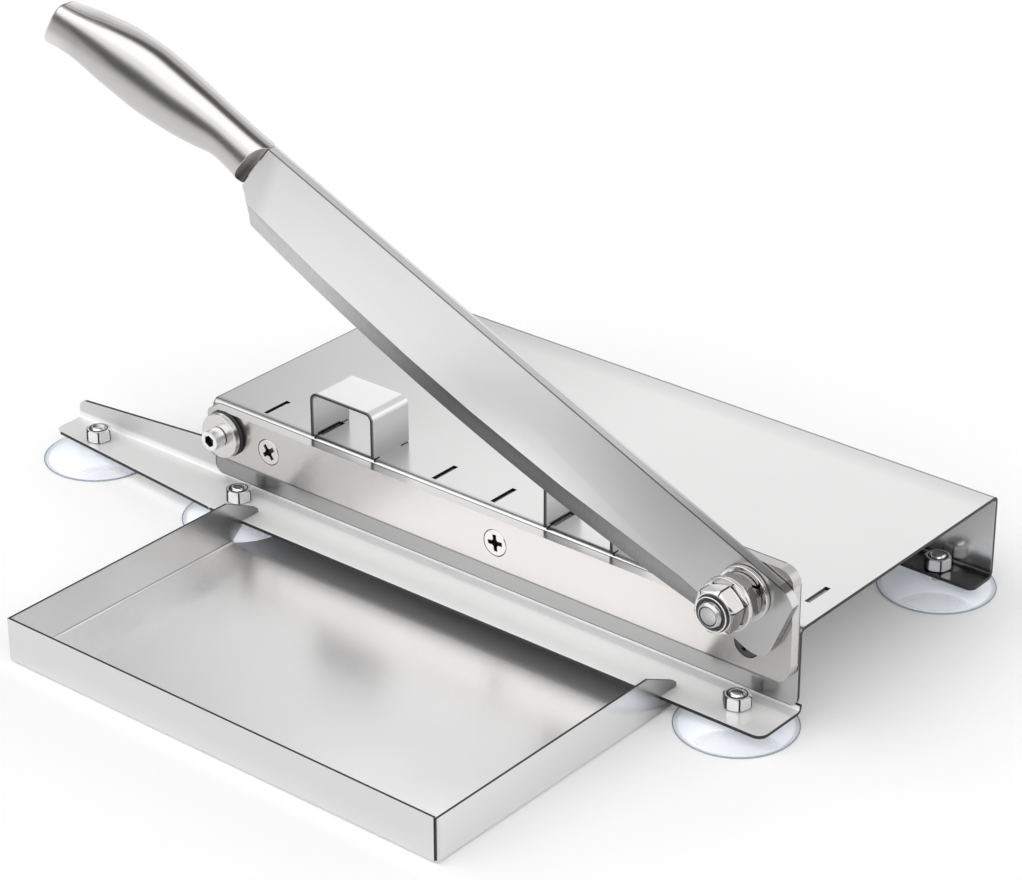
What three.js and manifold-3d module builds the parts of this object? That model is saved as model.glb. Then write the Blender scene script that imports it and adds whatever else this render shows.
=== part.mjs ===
// Frozen meat slicer: a lever blade that shears past a fixed blade on a folded sheet stand,
// with a pull-out tray, two plug-in guides and five suction feet.
// Lengths are millimetres and angles degrees. X runs right along the front wall, Y to the back
// and Z up from the table.
import * as THREE from "three";
import { mergeVertices } from "three/addons/utils/BufferGeometryUtils.js";
import Module from "manifold-3d";

// Shared clearances and steps
const gap = 0.3;
const overrun = 3;
const weldDistance = 0.0001;
const roundSides = 32;
const smallSides = 16;
const nutSides = 20;
const bendSides = 4;

// Folded sheet and its height over the table
const sheet = 1.5;
const bendRadius = 1.5;
const cupHeight = 6.3;

// Platform: top, front wall, rear wall and rear foot flange in one sheet
const platformLength = 294;
const platformDepth = 133;
const platformTop = 43.6;
const wallRise = 2.2;
const wallCorner = 4;
const rearFlange = 14.7;
const flangeCorner = 3;

// Front rail: an angle behind the front wall, longer than the platform on the left
const railFlange = 22;
const railOverhang = 83;
const railTop = 38;
const railNeckTop = 23.3;
const railTipTop = 16.3;
const railRise = 5;
const railBend = 1.2;
const railEndInset = 2.8;
const railCorner = 4;
const railTipCut = 9;
const railTaperStart = 17;

// Slots for the guides: a row at the front edge from the left, a pair set back at the right end
const slotPitch = 30;
const slotLeftInset = 26;
const slotFront = 4.2;
const setBackSlotInset = 9.6;
const setBackSlotFront = 17.8;

// Guides: open boxes without a floor, with a tab under each side wall
const guideSheet = 1;
const guideBend = 1.5;
const guideHeight = 19.1;
const guideDepth = 22;
const guideTabLength = 13;
const guideTabReach = 3;
const freeSlotCount = 1;
const guideSpacingCount = 4;

// Fixed blade with the ear that carries the pivot
const plateThickness = 5;
const plateLeft = 2;
const plateHeight = 22;
const plateCorner = 3;
const plateHeelCorner = 8;
const earWidth = 36;
const earRise = 25.7;
const earSlope = 15;
const earCorner = 6.5;
const earFillet = 8;

// Countersunk screws that hold plate, platform and rail together
const screwLeftInset = 33.8;
const screwRightInset = 19.6;
const screwCount = 3;
const screwDrop = 10.7;
const screwRadius = 3;
const screwHeadRadius = 5.4;
const screwHeadRim = 0.5;
const screwTail = 1;
const recessLength = 5.8;
const recessWidth = 1.3;
const recessDepth = 1.8;
const nutFlats = 10;
const nutHeight = 5;
const chamferShare = 0.94;

// Pivot bolt through the ear and the stack of washers and nuts in front of the blade
const pivotInset = 17.8;
const pivotDrop = 12;
const pivotRadius = 5;
const pivotHeadRadius = 8.75;
const pivotHeadHeight = 5.5;
const pivotHeadFace = 4.6;
const pivotSocketFlats = 6;
const pivotSocketDepth = 3;
const pivotTail = 1.6;
const pivotTipRadius = 4.2;
const pivotWasherRadius = 11;
const pivotWasherThickness = 2;
const springRadius = 9;
const springThickness = 2.4;
const springSlit = 1.6;
const springSlitTurn = 48;
const springSlitLean = 35;
const jamNutFlats = 18.4;
const jamNutHeight = 4.7;
const jamNutTurn = 12;
const outerWasherRadius = 10.75;
const outerWasherThickness = 2;
const lockNutFlats = 16.5;
const lockNutHeight = 7.2;
const lockNutTurn = -17;
const collarRadius = 6.9;
const collarHeight = 1.6;
const insertRadius = 6.1;

// Stop at the left end: bolt, washer and rubber ring that the closed blade rests on
const stopFromLeft = 12.5;
const stopDrop = 9.2;
const stopRingRadius = 10;
const stopRingThickness = 1.4;
const stopWasherRadius = 9.6;
const stopWasherThickness = 2.6;
const stopRadius = 2.5;
const stopHeadRadius = 4.3;
const stopHeadHeight = 5.5;
const stopHeadChamfer = 0.3;
const stopSocketFlats = 4.4;
const stopSocketDepth = 2.6;
const stopNutFlats = 8;
const stopNutHeight = 4;

// Lever blade, measured along its spine from the pivot and up from the pivot
const openAngle = 23.18;
const bladeThickness = 4;
const spineHeight = 12.5;
const heelLength = 18.7;
const heelFall = 3.9;
const heelFallRun = 3.6;
const heelFallRadius = 11;
const heelCorner = 6.5;
const edgeDrop = 32.5;
const edgeRadius = 1100;
const edgeLowest = 148;
const edgeEnd = 254.4;
const edgeThickness = 0.5;
const bevelHeight = 10.3;
const bevelFadeEnd = -6;
const bevelFullFrom = 20;
const bladeStep = 12;
const bolsterAlong = 255;
const bolsterLean = 15.7;
const choilDrop = 11;
const choilBendShares = [0.17, 0.7];
const choilCorner = 1.5;
const tangEnd = 292;
const tangHalfHeight = 5;

// Handle: oval sections on a bowed centre line
const handleStart = 250;
const handleLength = 121.7;
const handleHalfHeight = 14;
const handleHalfWidth = 10;
const handleBow = 12;
const handleSteps = 24;
const handleSides = 28;
const buttLean = 7.4;
const scoopRadius = 9;
const scoopOut = 6.8;
// Share of the length, then shares of the bow, half height and half width there
const handleShares = [
  [0, -0.1, 1.02, 0.8],
  [0.1, 0.1, 0.8, 0.78],
  [0.22, 0.185, 0.75, 0.78],
  [0.31, 0.08, 0.87, 0.85],
  [0.4, -0.01, 0.975, 0.95],
  [0.49, -0.08, 1.055, 1],
  [0.59, -0.16, 1.1, 1.01],
  [0.72, -0.27, 1, 0.99],
  [0.87, -0.5, 0.8, 0.81],
  [1, -0.86, 0.78, 0.6],
];
// Share of the length that the butt's rounding takes, with the section's share of its size there
const buttShares = [[0.988, 1], [0.996, 0.95], [1, 0.84]];
const buttLeanFromShare = 0.75;
const neckPower = 2.2;
const buttPower = 3.2;
const buttPowerFromShare = 0.6;

// Suction feet: cup, stud and nut
const cupRadius = 23.7;
const cupLip = 0.7;
const cupLipWidth = 2;
const cupShoulder = 5.3;
const cupNeckRadius = 9;
const cupHollow = 3.8;
const cupSteps = 4;
const cupSides = 24;
const studRadius = 3;
const studHeadRadius = 5.5;
const studHeadHeight = 1.5;
const studTail = 0.9;
const studTailTaper = 0.6;
const footNutTurn = 15;
const frontCupLine = 9.5;
const leftCupInset = 22;
const rightCupInset = 20;
const tipCupInset = 21.6;
const tipCupLine = 7.9;
const rearCupInset = 8.6;

// Tray: thin folded pan that hooks over the front flange of the rail
const traySheet = 1;
const trayBend = 1;
const trayLeft = 34.9;
const trayCupGap = 1.7;
const trayReach = 148.5;
const trayHeight = 19.3;
const traySeam = 0.5;
const hornFrontLine = 30.5;
const hornTipLine = 12.6;
const hornTipHeight = 3.1;
const hornCorner = 1.6;
const hornShoulder = 1.9;
const jawLine = 14;
const reliefClearance = 1;
const reliefTopRadius = 18.4;

// Places worked out from the sizes above
const footLevel = cupHeight + gap;
const flangeTop = footLevel + sheet;
const wallBottom = flangeTop + wallRise;
const plateRight = platformLength;
const plateTop = platformTop - gap;
const plateBottom = plateTop - plateHeight;
const plateBack = -gap;
const plateFront = plateBack - plateThickness;
const railWallFront = sheet + gap;
const railWallBack = railWallFront + sheet;
const earTop = plateTop + earRise;
const screwLevel = plateTop - screwDrop;
const pivotX = plateRight - pivotInset;
const pivotZ = earTop - pivotDrop;
const stopX = stopFromLeft;
const stopZ = plateTop - stopDrop;
const bladeBack = plateFront - gap;
const bladeFront = bladeBack - bladeThickness;
const slotWidth = guideSheet + 2 * gap;
const slotLength = guideTabLength + 2 * gap;
const setBackLast = platformLength - setBackSlotInset;
const setBackSlots = [setBackLast - slotPitch, setBackLast];
const slotCount = Math.floor((setBackSlots[0] - slotLeftInset) / slotPitch) + 1;
const slotAt = (count) => slotLeftInset + count * slotPitch;
const frontSlots = Array.from({ length: slotCount }, (_, i) => slotAt(i));
const guideXs = { guide_left: slotAt(freeSlotCount), guide_right: slotAt(freeSlotCount + guideSpacingCount) };
const screwXs = Array.from({ length: screwCount }, (_, i) => {
  const share = i / (screwCount - 1);
  return THREE.MathUtils.lerp(plateLeft + screwLeftInset, plateRight - screwRightInset, share);
});
const trayRight = platformLength - rightCupInset - cupRadius - trayCupGap;
const rearCupLine = platformDepth - rearCupInset;
const cups = {
  front_left: [leftCupInset, -frontCupLine],
  front_right: [platformLength - rightCupInset, -frontCupLine],
  far_left: [tipCupInset - railOverhang, -tipCupLine],
  rear_left: [leftCupInset, rearCupLine],
  rear_right: [platformLength - rightCupInset, rearCupLine],
};

const wasm = await Module();
wasm.setup();

// Solids from three.js geometry, and back

function volumeOf(points, index) {
  const corner = (i) => new THREE.Vector3().fromArray(points, 3 * index[i]);
  let volume = 0;
  for (let i = 0; i < index.length; i += 3) {
    volume += corner(i).dot(corner(i + 1).cross(corner(i + 2)));
  }
  return volume;
}

function toSolid(geometry) {
  const bare = geometry.clone();
  bare.deleteAttribute("normal");
  bare.deleteAttribute("uv");
  const merged = mergeVertices(bare, weldDistance);
  const points = merged.getAttribute("position").array;
  const index = merged.getIndex().array;
  const outward = volumeOf(points, index) > 0;
  const kept = [];
  for (let i = 0; i < index.length; i += 3) {
    const [a, b, c] = index.subarray(i, i + 3);
    if (a !== b && b !== c && c !== a) {
      kept.push(a, outward ? b : c, outward ? c : b);
    }
  }
  const mesh = { numProp: 3, vertProperties: points, triVerts: new Uint32Array(kept) };
  return new wasm.Manifold(new wasm.Mesh(mesh));
}

function toGeometry(solid) {
  const mesh = solid.getMesh();
  const geometry = new THREE.BufferGeometry();
  geometry.setAttribute("position", new THREE.BufferAttribute(mesh.vertProperties, 3));
  geometry.setIndex(new THREE.BufferAttribute(mesh.triVerts, 1));
  geometry.computeVertexNormals();
  return geometry;
}

const cut = (solid, ...tools) => tools.reduce((left, tool) => left.subtract(tool), solid);
const join = (solid, ...others) => others.reduce((sum, other) => sum.add(other), solid);
const common = (solid, ...others) => others.reduce((rest, other) => rest.intersect(other), solid);

// Flat outlines

const radians = THREE.MathUtils.degToRad;
const tangent = (degrees) => Math.tan(radians(degrees));
const flatPoint = ([x, y]) => new THREE.Vector2(x, y);

// Arc that rounds a corner: its centre, unit spokes along it and the side it turns to
function fillet(last, corner, next, radius) {
  const back = last.clone().sub(corner).normalize();
  const ahead = next.clone().sub(corner).normalize();
  const half = Math.acos(THREE.MathUtils.clamp(back.dot(ahead), -1, 1)) / 2;
  const side = Math.sign(ahead.cross(back));
  const centre = back.clone().add(ahead).setLength(radius / Math.sin(half)).add(corner);
  const start = back.clone().multiplyScalar(radius / Math.tan(half)).add(corner);
  const first = start.sub(centre).normalize();
  const sweep = Math.PI - 2 * half;
  const steps = Math.ceil((bendSides * sweep) / (Math.PI / 2));
  const spokes = Array.from({ length: steps + 1 }, (_, k) => {
    return first.clone().rotateAround(new THREE.Vector2(), (side * sweep * k) / steps);
  });
  return { centre, spokes, side };
}

// Closed outline through corners [x, y, radius], each rounded by its radius if it has one
function rounded(corners) {
  return corners.flatMap((corner, i) => {
    const radius = corner[2];
    if (!radius) {
      return [flatPoint(corner)];
    }
    const last = flatPoint(corners.at(i - 1));
    const next = flatPoint(corners[(i + 1) % corners.length]);
    const { centre, spokes } = fillet(last, flatPoint(corner), next, radius);
    return spokes.map((spoke) => spoke.multiplyScalar(radius).add(centre));
  });
}

// Outline of a sheet whose middle line runs through the corners, with every bend alike
function bentSheet(corners, thickness, inside) {
  const half = thickness / 2;
  const left = [];
  const right = [];
  corners.map(flatPoint).forEach((corner, i, all) => {
    if (i > 0 && i < all.length - 1) {
      const bend = fillet(all[i - 1], corner, all[i + 1], inside + half);
      for (const spoke of bend.spokes) {
        left.push(spoke.clone().multiplyScalar(inside + half - bend.side * half).add(bend.centre));
        right.push(spoke.clone().multiplyScalar(inside + half + bend.side * half).add(bend.centre));
      }
      return;
    }
    const along = i === 0 ? all[1].clone().sub(corner) : corner.clone().sub(all[i - 1]);
    const across = new THREE.Vector2(-along.y, along.x).setLength(half);
    left.push(corner.clone().add(across));
    right.push(corner.clone().sub(across));
  });
  return [...right, ...left.reverse()];
}

// What is cut off to round one square corner; inX and inY point into the material
function cornerWaste(x, y, inX, inY, radius) {
  const arc = Array.from({ length: bendSides + 1 }, (_, k) => {
    const angle = (Math.PI / 2) * (k / bendSides);
    const acrossX = radius * (1 - Math.sin(angle));
    const acrossY = radius * (1 - Math.cos(angle));
    return [x + inX * acrossX, y + inY * acrossY];
  });
  const outsideX = x - inX * overrun;
  const outsideY = y - inY * overrun;
  return [[outsideX, outsideY], [x + inX * radius, outsideY], ...arc, [outsideX, y + inY * radius]].map(flatPoint);
}

// Flat outlines made thick: seen from above, from the front or from the right

const xAxis = new THREE.Vector3(1, 0, 0);
const yAxis = new THREE.Vector3(0, 1, 0);
const zAxis = new THREE.Vector3(0, 0, 1);
const views = {
  plan: { axes: [xAxis, yAxis, zAxis], start: (low) => [0, 0, low] },
  front: { axes: [xAxis, zAxis, yAxis.clone().negate()], start: (low, high) => [0, high, 0] },
  side: { axes: [yAxis, zAxis, xAxis], start: (low) => [low, 0, 0] },
};

function slab(points, view, low, high) {
  const shape = new THREE.Shape(points);
  const geometry = new THREE.ExtrudeGeometry(shape, { depth: high - low, bevelEnabled: false });
  geometry.applyMatrix4(new THREE.Matrix4().makeBasis(...view.axes));
  return toSolid(geometry.translate(...view.start(low, high)));
}

function block([x0, x1], [y0, y1], [z0, z1]) {
  const geometry = new THREE.BoxGeometry(x1 - x0, y1 - y0, z1 - z0);
  return toSolid(geometry.translate((x0 + x1) / 2, (y0 + y1) / 2, (z0 + z1) / 2));
}

// Round bodies from a profile of [radius, along], turned about a line along Y or up Z

function turnedGeometry(profile, sides) {
  return new THREE.LatheGeometry(profile.map(flatPoint), sides);
}

function turned(profile, sides, x = 0, z = 0) {
  return toSolid(turnedGeometry(profile, sides).translate(x, 0, z));
}

function turnedUp(profile, sides, x = 0, y = 0) {
  return toSolid(turnedGeometry(profile, sides).rotateX(Math.PI / 2).translate(x, y, 0));
}

const rod = (radius, low, high) => [[0, low], [radius, low], [radius, high], [0, high]];

function ring(inner, outer, low, high) {
  return [[inner, low], [outer, low], [outer, high], [inner, high], [inner, low]];
}

const drill = (x, z, radius, low, high) => turned(rod(radius, low, high), smallSides, x, z);
const drillUp = (x, y, radius, low, high) => turnedUp(rod(radius, low, high), smallSides, x, y);

// Six-sided bar along Y, with a corner turned from straight up
function hexBar(flats, low, high, turn) {
  const height = high - low;
  const bar = new THREE.CylinderGeometry(flats / Math.sqrt(3), flats / Math.sqrt(3), height, 6);
  return toSolid(bar.rotateY(radians(turn)).translate(0, low + height / 2, 0));
}

// Hexagon nut along Y with both faces chamfered
function hexNut(flats, low, high, turn, bore) {
  const corner = flats / Math.sqrt(3);
  const face = (chamferShare * flats) / 2;
  const fall = (corner - face) * tangent(30);
  const barrel = [[0, low], [face, low], [corner, low + fall], [corner, high - fall], [face, high], [0, high]];
  const body = common(hexBar(flats, low, high, turn), turned(barrel, nutSides));
  return cut(body, turned(rod(bore, low - overrun, high + overrun), smallSides));
}

// Closed skin over rings that have equal numbers of points, with a flat cap at each end
function loft(rings) {
  const count = rings[0].length;
  const last = count * (rings.length - 1);
  const index = [];
  for (let start = 0; start < last; start += count) {
    for (let k = 0; k < count; k++) {
      const a = start + k;
      const b = start + ((k + 1) % count);
      index.push(a, b, a + count, b, b + count, a + count);
    }
  }
  for (let k = 1; k < count - 1; k++) {
    index.push(0, k + 1, k, last, last + k, last + k + 1);
  }
  return toSolid(new THREE.BufferGeometry().setFromPoints(rings.flat()).setIndex(index));
}

// Stand

function platform() {
  const half = sheet / 2;
  const section = bentSheet(
    [
      [half, wallBottom],
      [half, platformTop - half],
      [platformDepth - half, platformTop - half],
      [platformDepth - half, footLevel + half],
      [platformDepth - rearFlange, footLevel + half],
    ],
    sheet,
    bendRadius,
  );
  const ends = [[0, 1], [platformLength, -1]];
  const wallWaste = ends.map(([x, inward]) => {
    return slab(cornerWaste(x, wallBottom, inward, 1, wallCorner), views.front, -overrun, sheet + overrun);
  });
  const flangeWaste = ends.map(([x, inward]) => {
    const outline = cornerWaste(x, platformDepth - rearFlange, inward, 1, flangeCorner);
    return slab(outline, views.plan, footLevel - overrun, flangeTop + overrun);
  });
  const slot = (front) => (x) => {
    const across = [x - slotWidth / 2, x + slotWidth / 2];
    return block(across, [front, front + slotLength], [platformTop - sheet - overrun, platformTop + overrun]);
  };
  const wallHole = (x, z, radius) => drill(x, z, radius + gap, -overrun, sheet + overrun);
  return cut(
    slab(section, views.side, 0, platformLength),
    ...wallWaste,
    ...flangeWaste,
    ...frontSlots.map(slot(slotFront)),
    ...setBackSlots.map(slot(setBackSlotFront)),
    ...screwXs.map((x) => wallHole(x, screwLevel, screwRadius)),
    wallHole(stopX, stopZ, stopRadius),
    ...["rear_left", "rear_right"].map(studHole),
  );
}

function studHole(cup) {
  return drillUp(...cups[cup], studRadius + gap, footLevel - overrun, flangeTop + overrun);
}

function frontRail() {
  const half = sheet / 2;
  const middle = railWallFront + half;
  const section = bentSheet(
    [[middle, railTop], [middle, footLevel + half], [-railFlange, footLevel + half]],
    sheet,
    railBend,
  );
  const elevation = rounded([
    [-railOverhang, footLevel - overrun],
    [platformLength, footLevel - overrun],
    [platformLength, wallBottom],
    [platformLength - railEndInset, wallBottom],
    [platformLength - railEndInset, railTop, railCorner],
    [railRise, railTop, railCorner],
    [0, railNeckTop, railCorner],
    [-railOverhang, railTipTop, railCorner],
  ]);
  const plan = rounded([
    [-railOverhang, railTipCut - railFlange, railCorner],
    [railTaperStart, -railFlange, railCorner],
    [platformLength, -railFlange, railCorner],
    [platformLength, railWallBack + overrun],
    [-railOverhang, railWallBack + overrun],
  ]);
  const wallHole = (x, z, radius) => drill(x, z, radius + gap, railWallFront - overrun, railWallBack + overrun);
  return cut(
    common(
      slab(section, views.side, -railOverhang, platformLength),
      slab(elevation, views.front, -railFlange - overrun, railWallBack + overrun),
      slab(plan, views.plan, footLevel - overrun, railTop + overrun),
    ),
    ...screwXs.map((x) => wallHole(x, screwLevel, screwRadius)),
    wallHole(stopX, stopZ, stopRadius),
    ...["front_left", "front_right", "far_left"].map(studHole),
  );
}

// Fixed blade and what clamps it to the stand

// Countersunk head and shank, grown by a clearance
function screwProfile(clearance, face, tail) {
  const headEnd = plateFront + screwHeadRim + (screwHeadRadius - screwRadius);
  return [
    [0, face],
    [screwHeadRadius + clearance, face],
    [screwHeadRadius + clearance, plateFront + screwHeadRim],
    [screwRadius + clearance, headEnd],
    [screwRadius + clearance, tail],
    [0, tail],
  ];
}

function fixedBlade() {
  const earLeft = plateRight - earWidth;
  const outline = rounded([
    [plateLeft, plateBottom, plateCorner],
    [plateRight, plateBottom, plateHeelCorner],
    [plateRight, earTop, earCorner],
    [earLeft, earTop, earCorner],
    [earLeft - earSlope, plateTop, earFillet],
    [plateLeft, plateTop, plateCorner],
  ]);
  const through = [plateFront - overrun, plateBack + overrun];
  return cut(
    slab(outline, views.front, plateFront, plateBack),
    drill(pivotX, pivotZ, pivotRadius + gap, ...through),
    drill(stopX, stopZ, stopRadius + gap, ...through),
    ...screwXs.map((x) => turned(screwProfile(gap, ...through), roundSides, x, screwLevel)),
  );
}

function plateScrew() {
  const tail = railWallBack + gap + nutHeight + screwTail;
  const half = recessWidth / 2;
  const reach = recessLength / 2;
  const deep = [plateFront - overrun, plateFront + recessDepth];
  return cut(
    turned(screwProfile(0, plateFront, tail), smallSides),
    block([-reach, reach], deep, [-half, half]),
    block([-half, half], deep, [-reach, reach]),
  );
}

const plateNut = () => {
  const back = railWallBack + gap;
  return hexNut(nutFlats, back, back + nutHeight, 0, screwRadius + gap);
};

// Stop, built on its own axis

const stopRingFront = bladeBack - stopRingThickness;
const stopWasherBack = stopRingFront - gap;
const stopHeadBack = stopWasherBack - stopWasherThickness - gap;
const stopHeadFront = stopHeadBack - stopHeadHeight;
const stopNutBack = railWallBack + gap + stopNutHeight;

function stopRing() {
  return turned(ring(stopRadius + gap, stopRingRadius, stopRingFront, bladeBack), roundSides);
}

function stopWasher() {
  const front = stopWasherBack - stopWasherThickness;
  return turned(ring(stopRadius + gap, stopWasherRadius, front, stopWasherBack), roundSides);
}

function stopBolt() {
  const profile = [
    [0, stopHeadFront],
    [stopHeadRadius - stopHeadChamfer, stopHeadFront],
    [stopHeadRadius, stopHeadFront + stopHeadChamfer],
    [stopHeadRadius, stopHeadBack],
    [stopRadius, stopHeadBack],
    [stopRadius, stopNutBack + screwTail],
    [0, stopNutBack + screwTail],
  ];
  const socket = hexBar(stopSocketFlats, stopHeadFront - overrun, stopHeadFront + stopSocketDepth, 0);
  return cut(turned(profile, smallSides), socket);
}

function stopNut() {
  return hexNut(stopNutFlats, stopNutBack - stopNutHeight, stopNutBack, 0, stopRadius + gap);
}

// Pivot, built on its own axis from the blade's face to the front

const pivotWasherBack = bladeFront - gap;
const springBack = pivotWasherBack - pivotWasherThickness - gap;
const jamNutBack = springBack - springThickness - gap;
const outerWasherBack = jamNutBack - jamNutHeight - gap;
const lockNutBack = outerWasherBack - outerWasherThickness - gap;
const lockNutFront = lockNutBack - lockNutHeight;
const collarFront = lockNutFront - collarHeight;
const pivotTip = collarFront - pivotTail;

// Bolt with a low round head behind the ear
function pivotBolt() {
  const headBack = pivotHeadHeight;
  const profile = [
    [0, pivotTip],
    [pivotTipRadius, pivotTip],
    [pivotRadius, pivotTip + (pivotRadius - pivotTipRadius)],
    [pivotRadius, 0],
    [pivotHeadRadius, 0],
    [(pivotHeadRadius + pivotHeadFace) / 2, headBack * Math.sin(radians(55))],
    [pivotHeadFace, headBack],
    [0, headBack],
  ];
  const socket = hexBar(pivotSocketFlats, headBack - pivotSocketDepth, headBack + overrun, 0);
  return cut(turned(profile, roundSides), socket);
}

function pivotWasher() {
  const front = pivotWasherBack - pivotWasherThickness;
  return turned(ring(pivotRadius + gap, pivotWasherRadius, front, pivotWasherBack), roundSides);
}

function springWasher() {
  const front = springBack - springThickness;
  const coil = turned(ring(pivotRadius + gap, springRadius, front, springBack), roundSides);
  const slit = new THREE.BoxGeometry(springSlit, 2 * springRadius, springRadius);
  slit.rotateZ(radians(springSlitLean)).translate(0, (front + springBack) / 2, springRadius);
  return cut(coil, toSolid(slit.rotateY(radians(springSlitTurn))));
}

function jamNut() {
  return hexNut(jamNutFlats, jamNutBack - jamNutHeight, jamNutBack, jamNutTurn, pivotRadius + gap);
}

function outerWasher() {
  const front = outerWasherBack - outerWasherThickness;
  return turned(ring(pivotRadius + gap, outerWasherRadius, front, outerWasherBack), roundSides);
}

// Lock nut with a thin collar around the nylon ring that grips the thread
function lockNut() {
  const bore = insertRadius + gap;
  const body = hexNut(lockNutFlats, lockNutFront, lockNutBack, lockNutTurn, pivotRadius + gap);
  const rounding = (collarRadius - bore) / 2;
  const collar = [
    [bore, lockNutFront + rounding],
    [bore, collarFront],
    [collarRadius - rounding, collarFront],
    [collarRadius, collarFront + rounding],
    [collarRadius, lockNutFront + rounding],
    [bore, lockNutFront + rounding],
  ];
  return join(body, turned(collar, roundSides));
}

function lockNutInsert() {
  return turned(ring(pivotRadius + gap, insertRadius, collarFront + gap, lockNutFront - gap), roundSides);
}

// Lever blade and handle, drawn about the pivot with the spine level: along runs to -X, up to +Z

const onLever = (along, up, ...radius) => [-along, up, ...radius];
const bolsterAt = (up) => bolsterAlong + (spineHeight - up) * tangent(bolsterLean);
const edgeAt = (along) => (along - edgeLowest) ** 2 / (2 * edgeRadius) - edgeDrop;
const bevelAt = (along) => bevelHeight * THREE.MathUtils.smoothstep(along, bevelFadeEnd, bevelFullFrom);

function choil() {
  const bottom = new THREE.Vector2(edgeEnd, edgeAt(edgeEnd));
  const top = new THREE.Vector2(bolsterAt(-choilDrop), -choilDrop);
  const size = top.clone().sub(bottom);
  const bend = size.multiply(flatPoint(choilBendShares)).add(bottom);
  const curve = new THREE.QuadraticBezierCurve(top, bend, bottom).getPoints(bendSides).slice(0, -1);
  return [...curve.map((point) => onLever(point.x, point.y)), onLever(bottom.x, bottom.y, choilCorner)];
}

function bladeOutline() {
  const edgeCount = Math.floor((edgeEnd + heelLength) / bladeStep);
  const edge = Array.from({ length: edgeCount - 1 }, (_, i) => {
    const along = edgeEnd - (i + 1) * bladeStep;
    return onLever(along, edgeAt(along));
  });
  return rounded([
    onLever(-heelLength, spineHeight - heelFall),
    onLever(heelFallRun - heelLength, spineHeight, heelFallRadius),
    onLever(bolsterAt(spineHeight), spineHeight),
    onLever(bolsterAt(tangHalfHeight), tangHalfHeight),
    onLever(tangEnd, tangHalfHeight),
    onLever(tangEnd, -tangHalfHeight),
    onLever(bolsterAt(-tangHalfHeight), -tangHalfHeight),
    ...choil(),
    ...edge,
    onLever(-heelLength, edgeAt(-heelLength), heelCorner),
  ]);
}

// Section across the blade: flat back, flat front and the ground bevel, which fades out at the heel
function bladeSection(along) {
  const edge = edgeAt(along);
  return [
    [bladeBack, spineHeight + overrun],
    [bladeFront, spineHeight + overrun],
    [bladeFront, edge + bevelAt(along)],
    [bladeBack - edgeThickness, edge],
    [bladeBack, edge],
  ].map(([y, up]) => new THREE.Vector3(-along, y, up));
}

function blade() {
  const first = -heelLength - overrun;
  const length = tangEnd + overrun - first;
  const steps = Math.ceil(length / bladeStep);
  const stations = Array.from({ length: steps + 1 }, (_, i) => first + (length * i) / steps);
  return cut(
    common(
      loft(stations.map(bladeSection)),
      slab(bladeOutline(), views.front, bladeFront - overrun, bladeBack + overrun),
    ),
    drill(0, 0, pivotRadius + gap, bladeFront - overrun, bladeBack + overrun),
  );
}

// Smooth run of one column of the handle's shares
function handleColumn(column) {
  const curve = new THREE.SplineCurve(handleShares.map((row) => new THREE.Vector2(row[0], row[column])));
  return (step) => curve.getPoint(step);
}

function handleRings() {
  const columns = [1, 2, 3].map(handleColumn);
  const middle = (bladeBack + bladeFront) / 2;
  const stations = Array.from({ length: handleSteps }, (_, i) => {
    const [bow, height, width] = columns.map((column) => column(i / handleSteps));
    return { share: bow.x, bow: bow.y, height: height.y, width: width.y };
  });
  const end = handleShares.at(-1);
  for (const [share, size] of buttShares) {
    stations.push({ share, bow: end[1], height: end[2] * size, width: end[3] * size });
  }
  return stations.map(({ share, bow, height, width }) => {
    const leanShare = THREE.MathUtils.smoothstep(share, buttLeanFromShare, 1);
    const powerShare = THREE.MathUtils.smoothstep(share, buttPowerFromShare, 1);
    const power = THREE.MathUtils.lerp(neckPower, buttPower, powerShare);
    return Array.from({ length: handleSides }, (_, k) => {
      const angle = (2 * Math.PI * k) / handleSides;
      const bulge = (value) => Math.sign(value) * Math.abs(value) ** (2 / power);
      const rise = handleHalfHeight * height * bulge(Math.sin(angle));
      const along = handleStart + handleLength * share - rise * tangent(buttLean) * leanShare;
      const y = middle + handleHalfWidth * width * bulge(Math.cos(angle));
      return new THREE.Vector3(-along, y, handleBow * bow + rise);
    });
  });
}

// The bolster's face slopes with the blade's shoulder and is hollowed on both sides
function handle() {
  const reach = 2 * handleHalfHeight;
  const nose = (up) => onLever(bolsterAt(up) + gap, up);
  const front = handleStart - overrun;
  const noseWaste = [nose(-reach), nose(reach), onLever(front - reach, reach), onLever(front - reach, -reach)];
  const width = handleHalfWidth + overrun;
  const scoopAhead = Math.sqrt(scoopRadius ** 2 - scoopOut ** 2);
  const scoops = [bladeFront - scoopOut, bladeBack + scoopOut].map((y) => {
    const tool = new THREE.CylinderGeometry(scoopRadius, scoopRadius, 2 * reach, roundSides);
    tool.rotateX(Math.PI / 2).rotateY(radians(bolsterLean));
    return toSolid(tool.translate(scoopAhead - bolsterAt(0) - gap, y, 0));
  });
  const half = tangHalfHeight + gap;
  return cut(
    loft(handleRings()),
    slab(noseWaste.map(flatPoint), views.front, bladeFront - width, bladeBack + width),
    block([-tangEnd - gap, -handleStart + overrun], [bladeFront - gap, bladeBack + gap], [-half, half]),
    ...scoops,
  );
}

// Guides, drawn from the centre line of their left slot

function guide() {
  const half = guideSheet / 2;
  const top = platformTop + guideHeight - half;
  const bottom = platformTop + gap;
  const section = bentSheet(
    [[0, bottom], [0, top], [slotPitch, top], [slotPitch, bottom]],
    guideSheet,
    guideBend,
  );
  const front = slotFront + gap;
  const tabs = [0, slotPitch].map((x) => {
    const tip = platformTop - sheet - guideTabReach;
    return block([x - half, x + half], [front, front + guideTabLength], [tip, bottom + guideSheet]);
  });
  return join(slab(section, views.front, gap, gap + guideDepth), ...tabs);
}

// Suction feet, drawn about their own upright axis

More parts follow.
